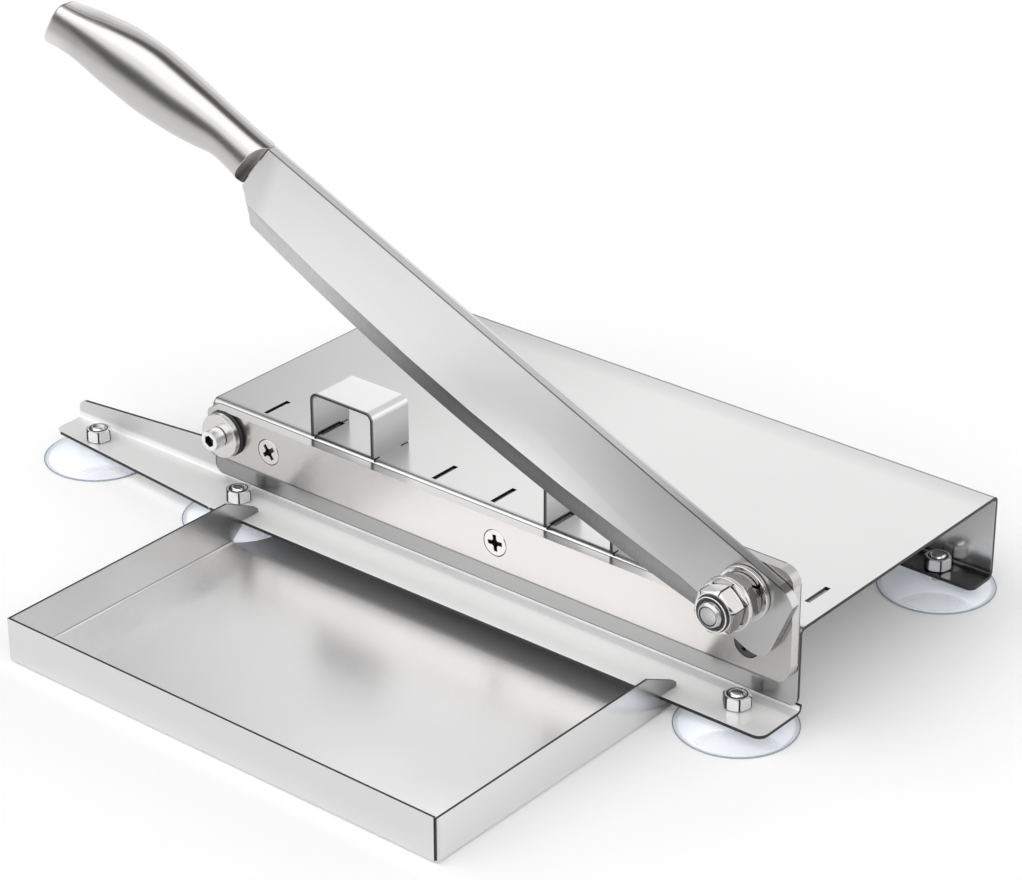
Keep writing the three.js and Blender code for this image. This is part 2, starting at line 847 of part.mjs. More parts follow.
function suctionCup() {
  const bore = studRadius + gap;
  const share = (k) => k / cupSteps;
  const swell = (k) => Math.sin((Math.PI / 2) * share(k));
  const steps = Array.from({ length: cupSteps + 1 }, (_, k) => k);
  const dome = steps.map((k) => {
    const radius = THREE.MathUtils.lerp(cupRadius, cupNeckRadius, share(k));
    return [radius, THREE.MathUtils.lerp(cupLip, cupShoulder, swell(k))];
  });
  const hollow = steps.map((k) => {
    return [THREE.MathUtils.lerp(cupRadius - cupLipWidth, bore, share(k)), cupHollow * swell(k)];
  });
  const profile = [
    [cupRadius, 0],
    ...dome,
    [cupNeckRadius, cupHeight],
    [bore, cupHeight],
    ...hollow.reverse(),
    [cupRadius, 0],
  ];
  return turnedUp(profile, cupSides);
}

function stud() {
  const headTop = cupHollow - gap;
  const tip = flangeTop + gap + nutHeight + studTail;
  return turnedUp(
    [
      [0, headTop - studHeadHeight],
      [studHeadRadius, headTop - studHeadHeight],
      [studHeadRadius, headTop],
      [studRadius, headTop],
      [studRadius, tip - studTailTaper],
      [studRadius - studTailTaper, tip],
      [0, tip],
    ],
    smallSides,
  );
}

function footNut() {
  const geometry = toGeometry(hexNut(nutFlats, 0, nutHeight, footNutTurn, studRadius + gap));
  return toSolid(geometry.rotateX(Math.PI / 2).translate(0, 0, flangeTop + gap));
}

// Tray

function trayEnds() {
  const slotTop = flangeTop + gap;
  const slotBottom = footLevel - gap;
  const slotEnd = -railFlange - gap;
  return rounded([
    [-trayReach, 0, traySheet + trayBend],
    [-jawLine, 0],
    [-jawLine, slotBottom],
    [slotEnd, slotBottom],
    [slotEnd, slotTop],
    [-hornTipLine, slotTop],
    [-hornTipLine, slotTop + hornTipHeight - hornCorner],
    [-hornTipLine - hornShoulder, slotTop + hornTipHeight, hornCorner],
    [-hornFrontLine, trayHeight],
    [-trayReach, trayHeight],
  ]);
}

function tray() {
  const half = traySheet / 2;
  const walls = bentSheet(
    [
      [trayLeft + half, trayHeight],
      [trayLeft + half, half],
      [trayRight - half, half],
      [trayRight - half, trayHeight],
    ],
    traySheet,
    trayBend,
  );
  const front = bentSheet(
    [
      [-trayReach + half, trayHeight],
      [-trayReach + half, half],
      [-hornFrontLine, half],
    ],
    traySheet,
    trayBend,
  );
  const relief = [
    [0, -overrun],
    [cupRadius + reliefClearance, -overrun],
    [cupRadius + reliefClearance, 0],
    [reliefTopRadius, footLevel],
    [0, footLevel],
  ];
  const pan = common(
    slab(walls, views.front, -trayReach, -hornTipLine),
    slab(trayEnds(), views.side, trayLeft - overrun, trayRight + overrun),
  );
  const frontWall = slab(front, views.side, trayLeft + half, trayRight - traySheet - traySeam);
  return cut(join(pan, frontWall), turnedUp(relief, cupSides, ...cups.front_left));
}

// Materials

const looks = {
  satin: { color: 0xd3d4d3, roughness: 0.3, metalness: 1 },
  ground: { color: 0xbfbdba, roughness: 0.24, metalness: 1 },
  bright: { color: 0xcfd0d1, roughness: 0.16, metalness: 1 },
  rubber: { color: 0x17181a, roughness: 0.65, metalness: 0 },
  nylon: { color: 0x2a2c30, roughness: 0.5, metalness: 0 },
  cup: { color: 0xe4eaef, roughness: 0.12, metalness: 0 },
};

function piece(name, solid, look, [x, y, z] = [0, 0, 0]) {
  const mesh = new THREE.Mesh(toGeometry(solid), new THREE.MeshStandardMaterial(looks[look]));
  mesh.name = name;
  mesh.position.set(x, y, z);
  return mesh;
}

// Assembly

const slicer = new THREE.Group();
slicer.add(
  piece("platform", platform(), "satin"),
  piece("front_rail", frontRail(), "satin"),
  piece("fixed_blade", fixedBlade(), "ground"),
  piece("tray", tray(), "satin"),
);

screwXs.forEach((x, i) => {
  const place = [x, 0, screwLevel];
  slicer.add(
    piece(`plate_screw_${i + 1}`, plateScrew(), "bright", place),
    piece(`plate_nut_${i + 1}`, plateNut(), "bright", place),
  );
});

const stopPlace = [stopX, 0, stopZ];
slicer.add(
  piece("stop_ring", stopRing(), "rubber", stopPlace),
  piece("stop_washer", stopWasher(), "bright", stopPlace),
  piece("stop_bolt", stopBolt(), "bright", stopPlace),
  piece("stop_nut", stopNut(), "bright", stopPlace),
);

const pivotPlace = [pivotX, 0, pivotZ];
slicer.add(
  piece("pivot_bolt", pivotBolt(), "bright", pivotPlace),
  piece("pivot_washer", pivotWasher(), "bright", pivotPlace),
  piece("spring_washer", springWasher(), "bright", pivotPlace),
  piece("jam_nut", jamNut(), "bright", pivotPlace),
  piece("outer_washer", outerWasher(), "bright", pivotPlace),
  piece("lock_nut", lockNut(), "bright", pivotPlace),
  piece("lock_nut_insert", lockNutInsert(), "nylon", pivotPlace),
);

const lever = new THREE.Group();
lever.position.set(...pivotPlace);
lever.rotation.y = radians(openAngle);
lever.add(piece("blade", blade(), "ground"), piece("handle", handle(), "satin"));
slicer.add(lever);

for (const [name, x] of Object.entries(guideXs)) {
  slicer.add(piece(name, guide(), "satin", [x, 0, 0]));
}

for (const [name, [x, y]] of Object.entries(cups)) {
  slicer.add(
    piece(`cup_${name}`, suctionCup(), "cup", [x, y, 0]),
    piece(`cup_stud_${name}`, stud(), "bright", [x, y, 0]),
    piece(`cup_nut_${name}`, footNut(), "bright", [x, y, 0]),
  );
}

// The origin is the middle of the box around the whole slicer, at the height of the table
slicer.updateMatrixWorld(true);
const middle = new THREE.Box3().setFromObject(slicer, true).getCenter(new THREE.Vector3());
slicer.position.set(-middle.x, -middle.y, 0);

export default slicer;
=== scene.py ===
import math

import bmesh
import bpy
import numpy as np
from mathutils import Matrix, Vector


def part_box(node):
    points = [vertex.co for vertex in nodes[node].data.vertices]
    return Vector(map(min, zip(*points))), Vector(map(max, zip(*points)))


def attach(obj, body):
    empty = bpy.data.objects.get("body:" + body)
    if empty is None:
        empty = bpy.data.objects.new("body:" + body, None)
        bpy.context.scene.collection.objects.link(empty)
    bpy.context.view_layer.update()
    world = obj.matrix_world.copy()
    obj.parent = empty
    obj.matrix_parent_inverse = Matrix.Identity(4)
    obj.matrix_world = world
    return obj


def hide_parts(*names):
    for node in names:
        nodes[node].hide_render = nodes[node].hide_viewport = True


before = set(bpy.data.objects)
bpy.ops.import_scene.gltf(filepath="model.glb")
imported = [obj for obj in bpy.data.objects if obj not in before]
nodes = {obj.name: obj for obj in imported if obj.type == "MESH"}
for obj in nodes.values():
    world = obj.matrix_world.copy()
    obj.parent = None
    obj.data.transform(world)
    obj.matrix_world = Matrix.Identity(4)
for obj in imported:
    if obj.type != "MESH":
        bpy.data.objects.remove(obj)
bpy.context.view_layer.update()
print("frame loaded with", len(nodes), "nodes")

# Lengths are in millimetres and angles in degrees, unless a note says otherwise
mm = 0.001
leverPivot = np.array([169.9, 0.2, 57.0])
leverTurn = 23.18  # how far the lever is drawn open
leverAngle = math.radians(leverTurn)


def mathsOf(operation, swapped=False):
    # an operator between two values, as a Math node
    def joined(self, other):
        values = (other, self) if swapped else (self, other)
        return self.tree.maths(operation, *values)

    return joined


class Signal:  # a socket that can stand in sums
    def __init__(self, tree, socket):
        self.tree = tree
        self.socket = socket

    def beside(self, name):  # another output of the same node
        return Signal(self.tree, self.socket.node.outputs[name])

    __add__, __radd__ = mathsOf("ADD"), mathsOf("ADD", True)
    __sub__, __rsub__ = mathsOf("SUBTRACT"), mathsOf("SUBTRACT", True)
    __mul__, __rmul__ = mathsOf("MULTIPLY"), mathsOf("MULTIPLY", True)
    __truediv__, __rtruediv__ = mathsOf("DIVIDE"), mathsOf("DIVIDE", True)
    __pow__, __rpow__ = mathsOf("POWER"), mathsOf("POWER", True)


class Tree:  # the nodes of a material or of the world
    def __init__(self, owner):
        owner.use_nodes = True
        self.owner = owner
        self.nodes = owner.node_tree.nodes
        self.links = owner.node_tree.links
        self.nodes.clear()

    def node(self, kind, settings=None, inputs=None, output=0):
        # any node: its settings first, then the values or links of its sockets
        made = self.nodes.new(kind)
        for name, value in (settings or {}).items():
            setattr(made, name, value)
        for name, value in (inputs or {}).items():
            if isinstance(value, Signal):
                self.links.new(value.socket, made.inputs[name])
            else:
                made.inputs[name].default_value = value
        return Signal(self, made.outputs[output])

    def maths(self, operation, *values):  # one Math node
        return self.node("ShaderNodeMath", {"operation": operation}, dict(enumerate(values)))

    def noise(self, place, scale, detail):  # a value about a half
        inputs = {"Vector": place, "Scale": scale, "Detail": detail}
        return self.node("ShaderNodeTexNoise", {}, inputs)

    def bump(self, height, strength, depth):  # a normal, with its depth in metres
        inputs = {"Strength": strength, "Distance": depth, "Height": height}
        return self.node("ShaderNodeBump", {}, inputs)

    def blend(self, share, first, second, way="MIX"):  # two colours
        settings = {"data_type": "RGBA", "blend_type": way}
        return self.node("ShaderNodeMix", settings, {0: share, 6: first, 7: second}, output=2)

    def end(self, kind, surface):  # the output that the surface goes to
        last = self.nodes.new(kind)
        self.links.new(surface.socket, last.inputs["Surface"])


def colour(tone):
    # a grey, or red, green and blue
    return (*(tone if isinstance(tone, tuple) else (tone,) * 3), 1.0)


# What a steel has where its own look says nothing else. Grain is the number of streaks per metre
# along X, Y and Z, turned about Y. Fades paint light and shade into the colour: each gives an
# axis, two places and the level at the second. Gains turn streaks, clouds and bump into shares of
# a noise, and glosses into roughness.
plainSteel = {
    "metallic": 1.0, "roughness": 0.22, "grain": (900, 900, 900), "turn": 0, "streaks": 0.03,
    "clouds": 0.02, "cloudScale": 28.0, "middleTone": 0.6, "bump": 0, "fades": [],
    "streakGain": 4, "cloudGain": 3, "streakGloss": 0.8, "cloudGloss": 0.06, "bumpGain": 4,
    "bumpDepth": 0.00002,
}
steelLooks = {
    "satinSheet": {
        "dark": 0.57, "light": (0.73, 0.73, 0.725), "grain": (40, 800, 800),
        # painted shade: darker towards the left end, a dark line at the left end, a darker band
        # near the far edge, dark over the far bend, the front wall darker and the front wall's
        # bottom and the rear flange darker; painted light: the rear wall lighter again
        "fades": [
            ("X", 60, -110, 0.74), ("X", -105.2, -105.8, 0.5), ("Y", 116, 129, 0.85),
            ("Y", 129.7, 130.1, 0.42), ("Y", 131.4, 131.6, 4.2), ("Y", 131.8, 132.1, 0.7),
            ("Y", 1.2, 0.4, 0.68), ("Z", 10.9, 10.5, 0.42),
        ],
    },
    "railSheet": {
        "dark": 0.88, "light": (0.99, 0.99, 0.985), "metallic": 0.18,
        "grain": (40, 800, 800),
        # painted shade: the flange darker towards both ends and the upright darker; painted
        # highlight: a lighter band along the bend
        "fades": [
            ("X", -30, -110, 0.8), ("X", 100, 180, 0.78), ("Z", 8.3, 8.9, 1.15),
            ("Z", 9.6, 12, 0.66),
        ],
    },
    "traySheet": {
        "dark": (0.70, 0.70, 0.705), "light": 0.85, "roughness": 0.25,
        "metallic": 0.95, "grain": (25, 160, 900), "streaks": 0.015, "clouds": 0.012,
        # painted shadow: darker towards the back, under the rail; painted shade: the front face a
        # little darker
        "fades": [("Y", -40, -12, 0.32), ("Y", -146.4, -147.4, 0.9)],
    },
    "guideSheet": {
        "dark": 0.58, "light": 0.73, "grain": (800, 60, 800),
        # painted light: the top lighter; painted shade: the lower walls and the front edges darker
        "fades": [("Z", 60.5, 62.4, 1.12), ("Z", 58, 44, 0.66), ("Y", 1.5, 1.1, 0.3)],
    },
    "plateFace": {
        "dark": (0.555, 0.537, 0.522), "light": (0.725, 0.705, 0.687), "metallic": 0.97,
        "grain": (1000, 1000, 25), "streaks": 0.04,
        # painted shade: darker towards both ends and a dark line along the bottom edge
        "fades": [("X", 0, -95, 0.84), ("X", 110, 185, 0.8), ("Z", 22.3, 21.9, 0.4)],
    },
    "bladeFace": {
        "dark": 0.77, "light": 0.91, "roughness": 0.3,
        "grain": (30, 900, 900), "turn": -leverTurn,
        # painted shade: darker towards the pivot, darker at the end by the handle and a thin dark
        # line along the spine; painted light: lighter again past the pivot
        "fades": [
            ("X", 10, 106, 0.5), ("X", 122, 150, 1.4), ("X", -112, -120, 0.86),
            ("Z", 131.0, 131.2, 0.25),
        ],
    },
    "bladeEdge": {
        "dark": 0.56, "light": 0.70, "roughness": 0.28,
        "grain": (60, 1800, 1800), "turn": -leverTurn, "streaks": 0.05, "clouds": 0.04,
        # painted light: the back part of the edges lighter; painted shade: the heel's edges darker
        "fades": [("Y", -6.6, -6.3, 1.4), ("X", 60, 140, 0.35)],
    },
    "bladeBevel": {
        # painted shade: the bevel's colour is near black for the dark it reflects, and painted
        # lighter towards both ends
        "dark": (0.06, 0.06, 0.061), "light": (0.15, 0.15, 0.151), "roughness": 0.36,
        "grain": (2600, 400, 120), "turn": -leverTurn, "streaks": 0.16, "clouds": 0.05,
        "bump": 0.08,
        "fades": [("X", -5, -95, 5.0), ("X", 40, 104, 2.1)],
    },
    "handleSatin": {
        "dark": (0.44, 0.433, 0.425), "light": (0.63, 0.62, 0.61), "roughness": 0.26,
        "grain": (30, 900, 900), "turn": -leverTurn, "streaks": 0.08, "clouds": 0.03,
        # painted light: lighter towards the butt
        "fades": [("X", -218, -237, 1.3)],
    },
    "shadedEdge": {
        # painted shade: the sheets' narrow cut edges are near black, for the shade on them
        "dark": (0.02, 0.02, 0.021), "light": (0.08, 0.08, 0.082), "roughness": 0.4,
        "streaks": 0.1, "clouds": 0.1,
    },
    "polishedEdge": {
        "dark": (0.52, 0.515, 0.51), "light": (0.72, 0.715, 0.71), "roughness": 0.24,
        "grain": (60, 1500, 1500), "streaks": 0.06, "clouds": 0.06,
        # painted shade: the narrow faces darker towards the back and towards the top of the ear
        "fades": [("Y", -1.0, -0.6, 0.35), ("Z", 66.5, 68.6, 0.72)],
    },
    "brightSteel": {
        "dark": (0.50, 0.49, 0.48), "light": (0.78, 0.77, 0.76), "roughness": 0.13,
        "grain": (700, 700, 700), "streaks": 0.04, "clouds": 0.05, "bump": 0.015,
    },
    "greySteel": {
        # a darker copy of brightSteel: on the jam nut and one side of the lock nut it is painted
        # shade
        "dark": (0.20, 0.19, 0.185), "light": (0.36, 0.35, 0.34), "roughness": 0.18,
        "grain": (700, 700, 700), "streaks": 0.04, "clouds": 0.05, "bump": 0.015,
    },
    "boltSteel": {
        "dark": 0.42, "light": 0.62, "roughness": 0.32,
        "metallic": 0.9, "streaks": 0.1, "clouds": 0.05,
    },
    "nutFacet": {
        "dark": 0.72, "light": 0.92, "roughness": 0.24,
        "metallic": 0.6, "streaks": 0.1, "clouds": 0.05,
    },
    "nutLine": {
        # painted shade: near black lines on nuts' corners, collar feet and rings
        "dark": 0.02, "light": 0.06, "roughness": 0.3,
        "metallic": 0.8, "streaks": 0.1, "clouds": 0.05,
    },
    "recessShade": {
        # painted shade: the wells of sockets and cross recesses are near black
        "dark": 0.03, "light": 0.09, "roughness": 0.4,
        "streaks": 0.1, "clouds": 0.1, "bump": 0.03,
    },
    "shadedSteel": {
        # painted shade: the bolster's hollow and the screw under the heel are dark, lighter
        # towards the top
        "dark": (0.07, 0.067, 0.065), "light": (0.14, 0.135, 0.13), "roughness": 0.28,
        "grain": (400, 400, 400), "turn": -leverTurn, "streaks": 0.04, "clouds": 0.05,
        "fades": [("Z", 117, 131, 3.2)],
    },
}


def steelFinish(name, look):
    # fine streaks and soft clouds move the tone between dark and light and vary the gloss
    tree = Tree(bpy.data.materials.new(name))
    place = tree.node("ShaderNodeTexCoord", output="Object")
    turn = (0, math.radians(look["turn"]), 0)
    turned = tree.node(
        "ShaderNodeMapping", {"vector_type": "POINT"}, {"Vector": place, "Rotation": turn}
    )
    stretched = tree.node("ShaderNodeMapping", {}, {"Vector": turned, "Scale": look["grain"]})
    streak = tree.noise(stretched, 1.0, 3.0)
    cloud = tree.noise(place, look["cloudScale"], 4.0)
    streakMove = (streak - 0.5) * (look["streaks"] * look["streakGain"])
    cloudMove = (cloud - 0.5) * (look["clouds"] * look["cloudGain"])
    tone = tree.node("ShaderNodeClamp", {}, {"Value": look["middleTone"] + streakMove + cloudMove})
    baseColour = tree.blend(tone, colour(look["dark"]), colour(look["light"]))
    # the fades paint light and shade into the colour
    for fade in look["fades"]:
        baseColour = faded(tree, turned, baseColour, *fade)
    rough = look["roughness"] + (cloud - 0.5) * look["cloudGloss"]
    rough = rough + (streak - 0.5) * (look["streaks"] * look["streakGloss"])
    inputs = {"Base Color": baseColour, "Metallic": look["metallic"], "Roughness": rough}
    if look["bump"]:
        inputs["Normal"] = tree.bump(streak, look["bump"] * look["bumpGain"], look["bumpDepth"])
    tree.end("ShaderNodeOutputMaterial", tree.node("ShaderNodeBsdfPrincipled", {}, inputs))
    return tree.owner


def faded(tree, place, baseColour, axis, start, end, level):
    # painted light and shade: the colour moves to a level from one place, in millimetres along an
    # axis, to another
    along = tree.node("ShaderNodeSeparateXYZ", {}, {0: place}, output=axis)
    share = tree.node(
        "ShaderNodeMapRange",
        {"interpolation_type": "SMOOTHSTEP"},
        {"Value": along, "From Min": start * mm, "From Max": end * mm},
    )
    return tree.blend(share, baseColour, colour(level), "MULTIPLY")


plainSoft = {
    "mottleScale": 420.0, "pitScale": 3200.0, "pitGloss": 0.2, "bump": 0.3, "bumpDepth": 0.00003,
}
softLooks = {
    "blackRubber": {"dark": (0.012, 0.012, 0.013), "light": (0.05, 0.05, 0.052), "roughness": 0.6},
    "blackNylon": {"dark": (0.02, 0.02, 0.022), "light": (0.05, 0.05, 0.055), "roughness": 0.42},
}


def softFinish(name, look):
    # moulded black plastic or rubber: faint mottling, fine pits
    tree = Tree(bpy.data.materials.new(name))
    place = tree.node("ShaderNodeTexCoord", output="Object")
    cloud = tree.noise(place, look["mottleScale"], 4.0)
    pit = tree.noise(place, look["pitScale"], 2.0)
    inputs = {
        "Base Color": tree.blend(cloud, colour(look["dark"]), colour(look["light"])),
        "Roughness": look["roughness"] + (pit - 0.5) * look["pitGloss"],
        "Normal": tree.bump(pit, look["bump"], look["bumpDepth"]),
    }
    tree.end("ShaderNodeOutputMaterial", tree.node("ShaderNodeBsdfPrincipled", {}, inputs))
    return tree.owner


# Milk is the least share of the skin, which grows with the slant, patches vary it, and through
# is the colour of what is behind. Glow is painted light: the skin shines a little by itself
plainVinyl = {
    "cloudScale": 60.0, "rippleScale": 160.0, "cloudGloss": 0.06, "slant": 0.25, "bump": 0.1,
    "bumpDepth": 0.0002,
}
vinylLooks = {
    "clearVinyl": {
        # painted light: the skin glows a little
        "through": (0.98, 0.984, 0.992), "skin": (0.95, 0.965, 1.0), "roughness": 0.14,
        "milk": 0.07, "patches": 0.1, "glow": 0.12,
    },
    "vinylRim": {
        # painted shade: the lip is darker, for its dark edge line
        "through": (0.62, 0.65, 0.71), "skin": (0.34, 0.37, 0.43), "roughness": 0.2,
        "milk": 0.34, "patches": 0.3, "glow": 0.0,
    },
}


def vinylFinish(name, look):
    # clear soft plastic: mostly seen through, with a gloss that grows at a slant and a little milk
    tree = Tree(bpy.data.materials.new(name))
    place = tree.node("ShaderNodeTexCoord", output="Object")
    cloud = tree.noise(place, look["cloudScale"], 2.0)
    ripple = tree.noise(place, look["rippleScale"], 1.0)
    clear = tree.node("ShaderNodeBsdfTransparent", {}, {"Color": colour(look["through"])})
    inputs = {
        "Base Color": colour(look["skin"]),
        "Roughness": look["roughness"] + cloud * look["cloudGloss"],
        # painted light: a faint glow in the skin's colour
        "Emission Color": colour(look["skin"]),
        "Emission Strength": look["glow"],
        "Normal": tree.bump(ripple, look["bump"], look["bumpDepth"]),
    }
    skin = tree.node("ShaderNodeBsdfPrincipled", {}, inputs)
    slant = tree.node("ShaderNodeLayerWeight", {}, {"Blend": look["slant"]}, output="Fresnel")
    milky = slant + look["milk"] + (cloud - 0.5) * look["patches"]
    share = tree.node("ShaderNodeClamp", {}, {"Value": milky})
    mixed = tree.node("ShaderNodeMixShader", {}, {0: share, 1: clear, 2: skin})
    tree.end("ShaderNodeOutputMaterial", mixed)
    return tree.owner


finishes = {name: steelFinish(name, plainSteel | look) for name, look in steelLooks.items()}
finishes |= {name: softFinish(name, plainSoft | look) for name, look in softLooks.items()}
finishes |= {name: vinylFinish(name, plainVinyl | look) for name, look in vinylLooks.items()}
print("finishes made:", len(finishes))


def gridFaces(grid, closedRows, closedColumns=True):
    # quads between neighbouring points of a grid, whose rows and columns may close round
    rows, columns = grid.shape[:2]
    counts = (np.arange(rows - 1 + closedRows), np.arange(columns - 1 + closedColumns))
    row, column = np.meshgrid(*counts, indexing="ij")
    nextRow, nextColumn = (row + 1) % rows, (column + 1) % columns
    corners = [row * columns + column, row * columns + nextColumn]
    corners += [nextRow * columns + nextColumn, nextRow * columns + column]
    return np.stack(corners, axis=-1).reshape(-1, 4)


def meshOf(name, points, faces, outwards=True):
    # the grid's points and quads as a mesh, merged where they meet, with its faces turned outwards
    made = bpy.data.meshes.new(name)
    points = np.asarray(points, np.float32).reshape(-1, 3)
    made.vertices.add(len(points))
    made.vertices.foreach_set("co", (points * mm).ravel())
    made.loops.add(faces.size)
    made.loops.foreach_set("vertex_index", faces.astype(np.int32).ravel())
    made.polygons.add(len(faces))
    made.polygons.foreach_set("loop_start", np.arange(0, faces.size, 4, dtype=np.int32))
    made.update(calc_edges=True)
    shape = bmesh.new()
    shape.from_mesh(made)
    bmesh.ops.remove_doubles(shape, verts=shape.verts, dist=1e-7)
    bmesh.ops.dissolve_degenerate(shape, edges=shape.edges, dist=1e-7)
    if outwards:
        bmesh.ops.recalc_face_normals(shape, faces=shape.faces)
    else:
        bmesh.ops.delete(shape, geom=[v for v in shape.verts if not v.link_faces], context="VERTS")
    shape.to_mesh(made)
    shape.free()
    return made


def markFaces(mesh, finishOf):
    # each face's finish, as a number in the piece's list, from its middle in millimetres
    middles = np.empty(len(mesh.polygons) * 3, np.float32)
    mesh.polygons.foreach_get("center", middles)
    chosen = finishOf(middles.reshape(-1, 3) / mm).astype(np.int32)
    mesh.polygons.foreach_set("material_index", chosen)


def pieceOf(name, mesh, finish, body, node):
    # an object with its finishes, smooth in its shading, that stands for a node
    made = bpy.data.objects.new(name, mesh)
    bpy.context.scene.collection.objects.link(made)
    for each in [finish] if isinstance(finish, str) else finish:
        mesh.materials.append(finishes[each])
    mesh.polygons.foreach_set("use_smooth", np.ones(len(mesh.polygons), bool))
    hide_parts(node)
    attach(made, body)
    return made


def gridPiece(
    name, node, grid, finish, closed=False, crisp=40, body="stand", mark=None
):
    # a piece from a grid, with edges sharper than an angle kept crisp in the shading
    mesh = meshOf(name, grid, gridFaces(grid, closed))
    mesh.set_sharp_from_angle(angle=math.radians(crisp))
    if mark:
        markFaces(mesh, mark)
    return pieceOf(name, mesh, finish, body, node)


def soften(piece, width, angle=35):
    # a narrow round on every sharp edge, with flat faces kept flat in the shading
    bevel = piece.modifiers.new("edges", "BEVEL")
    bevel.width = width * mm
    bevel.segments = 2
    bevel.limit_method = "ANGLE"
    bevel.angle_limit = math.radians(angle)
    weights = piece.modifiers.new("normals", "WEIGHTED_NORMAL")
    weights.weight = 100
    weights.keep_sharp = True


def fullTurn(columns):
    # even steps round a circle
    return np.linspace(0, 2 * np.pi, columns, endpoint=False)


def polar(radius, angle, along):
    # points at a radius and an angle round the axis, and a distance along it
    return np.stack([radius * np.cos(angle), radius * np.sin(angle), along + 0 * angle], axis=-1)


def turnedPoints(profile, columns):
    # a profile of [radius, along] carried round the axis
    profile = np.asarray(profile, float)
    return polar(profile[:, :1], fullTurn(columns), profile[:, 1:])


def laidAlong(points, seat, way):
    # the axis turned from up to Y, starting at the seat: way is -1 to the front and 1 to the back
    x, y, along = np.moveaxis(points, -1, 0)
    return np.stack([seat[0] + x, seat[1] + way * along, seat[2] + y], axis=-1)


def roundedProfile(corners, radius, steps=5):
    # every corner of a closed profile rounded by an arc between its two sides
    corners = np.asarray(corners, float)
    back = np.roll(corners, 1, axis=0) - corners
    ahead = np.roll(corners, -1, axis=0) - corners
    back /= np.linalg.norm(back, axis=1, keepdims=True)
    ahead /= np.linalg.norm(ahead, axis=1, keepdims=True)
    share = np.linspace(0, 1, steps)[None, :, None]
    start, end = corners + back * radius, corners + ahead * radius
    bend = (1 - share) ** 2 * start[:, None] + 2 * share * (1 - share) * corners[:, None]
    return (bend + share**2 * end[:, None]).reshape(-1, 2)


def boxOf(node):
    # lowest and highest corner of a node
    low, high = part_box(node)
    return np.array(low) / mm, np.array(high) / mm


def seatOf(node, side):
    # the middle of a node's box in X and Z, on its front (0) or its back (1)
    box = boxOf(node)
    middle = (box[0] + box[1]) / 2
    return np.array([middle[0], box[side][1], middle[2]])


def awayFrom(middles, centre, axes):
    # distance from a line through the centre, measured in the plane of two axes
    return np.hypot(*(middles - centre)[:, axes].T)


# Copies of solids. cutWidth is the widest face that can be a cut edge, and marks are further
# finishes, each with the faces that have it
copyLooks = {
    "railAngle": {
        "node": "front_rail", "finish": ["railSheet", "shadedEdge"], "body": "stand",
        "slot": "satin_sheet", "cutWidth": 1.9, "softness": 0.18,
    },
    "trayPan": {
        "node": "tray", "finish": ["traySheet", "shadedEdge"], "body": "tray_body",
        "slot": "satin_sheet", "cutWidth": 1.3, "softness": 0.12,
    },
    "shearPlate": {
        "node": "fixed_blade", "finish": ["plateFace", "polishedEdge"], "body": "stand",
        "slot": "ground_steel", "cutWidth": 5.4, "softness": 0.35,
    },
    "leverBlade": {
        "node": "blade", "finish": ["bladeFace", "bladeEdge", "bladeBevel"], "body": "lever",
        "slot": "ground_steel", "cutWidth": 4.4, "softness": 0.3,
        "marks": [
            (0, lambda face: abs(face.normal.y) > 0.98),  # the flat sides
            (2, lambda face: face.normal.y < -0.5 and face.normal.z < -0.15),  # the bevel
        ],
    },
}


def sheetCopy(name, look):
    # the solid's own faces, merged: long narrow ones with sharp borders are cut edges
    mergeDistance, flatAngle, sharpAngle, sharpShare = 2e-6, 0.6, 1.0, 0.5
    shape = bmesh.new()
    shape.from_mesh(nodes[look["node"]].data)
    bmesh.ops.remove_doubles(shape, verts=shape.verts, dist=mergeDistance)
    bmesh.ops.dissolve_limit(
        shape, angle_limit=math.radians(flatAngle), verts=shape.verts, edges=shape.edges
    )
    for face in shape.faces:
        sharp = [e.calc_length() for e in face.edges if e.calc_face_angle(0) > sharpAngle]
        outline = face.calc_perimeter()
        narrow = 2 * face.calc_area() / outline < look["cutWidth"] * mm
        face.material_index = 1 if narrow and sum(sharp) > sharpShare * outline else 0
        for index, wanted in look.get("marks", []):
            if wanted(face):
                face.material_index = index
    mesh = bpy.data.meshes.new(name)
    shape.to_mesh(mesh)
    shape.free()
    made = pieceOf(name, mesh, look["finish"], look["body"], look["node"])
    soften(made, look["softness"])


for name, look in copyLooks.items():
    sheetCopy(name, look)


def foldedLine(corners, radius, steps=8):
    # an open line whose inner corners, all square, become arcs of the given radius
    corners = np.asarray(corners, float)
    turn = np.linspace(0, np.pi / 2, steps + 1)[:, None]
    line = [corners[:1]]
    for before, corner, after in zip(corners[:-2], corners[1:-1], corners[2:]):
        back = (before - corner) / np.linalg.norm(before - corner) * radius
        ahead = (after - corner) / np.linalg.norm(after - corner) * radius
        line.append(corner + back * (1 - np.sin(turn)) + ahead * (1 - np.cos(turn)))
    line.append(corners[-1:])
    return np.concatenate(line)


def withRows(line, column, wanted):
    # extra points on the straight runs where a coordinate takes the wanted values
    apart = 0.01
    for value in wanted:
        low = np.minimum(line[:-1, column], line[1:, column])
        high = np.maximum(line[:-1, column], line[1:, column])
        for index in np.nonzero((low < value - apart) & (value + apart < high))[0][::-1]:
            share = (value - line[index, column]) / (line[index + 1, column] - line[index, column])
            point = line[index] + (line[index + 1] - line[index]) * share
            line = np.insert(line, index + 1, point, axis=0)
    return line


def cornerInset(distance, radius):
    # how far a rounded corner has drawn the edge in, at a distance from the sheet's end
    left = np.clip(radius - distance, 0, radius)
    return radius - np.sqrt(radius**2 - left**2)


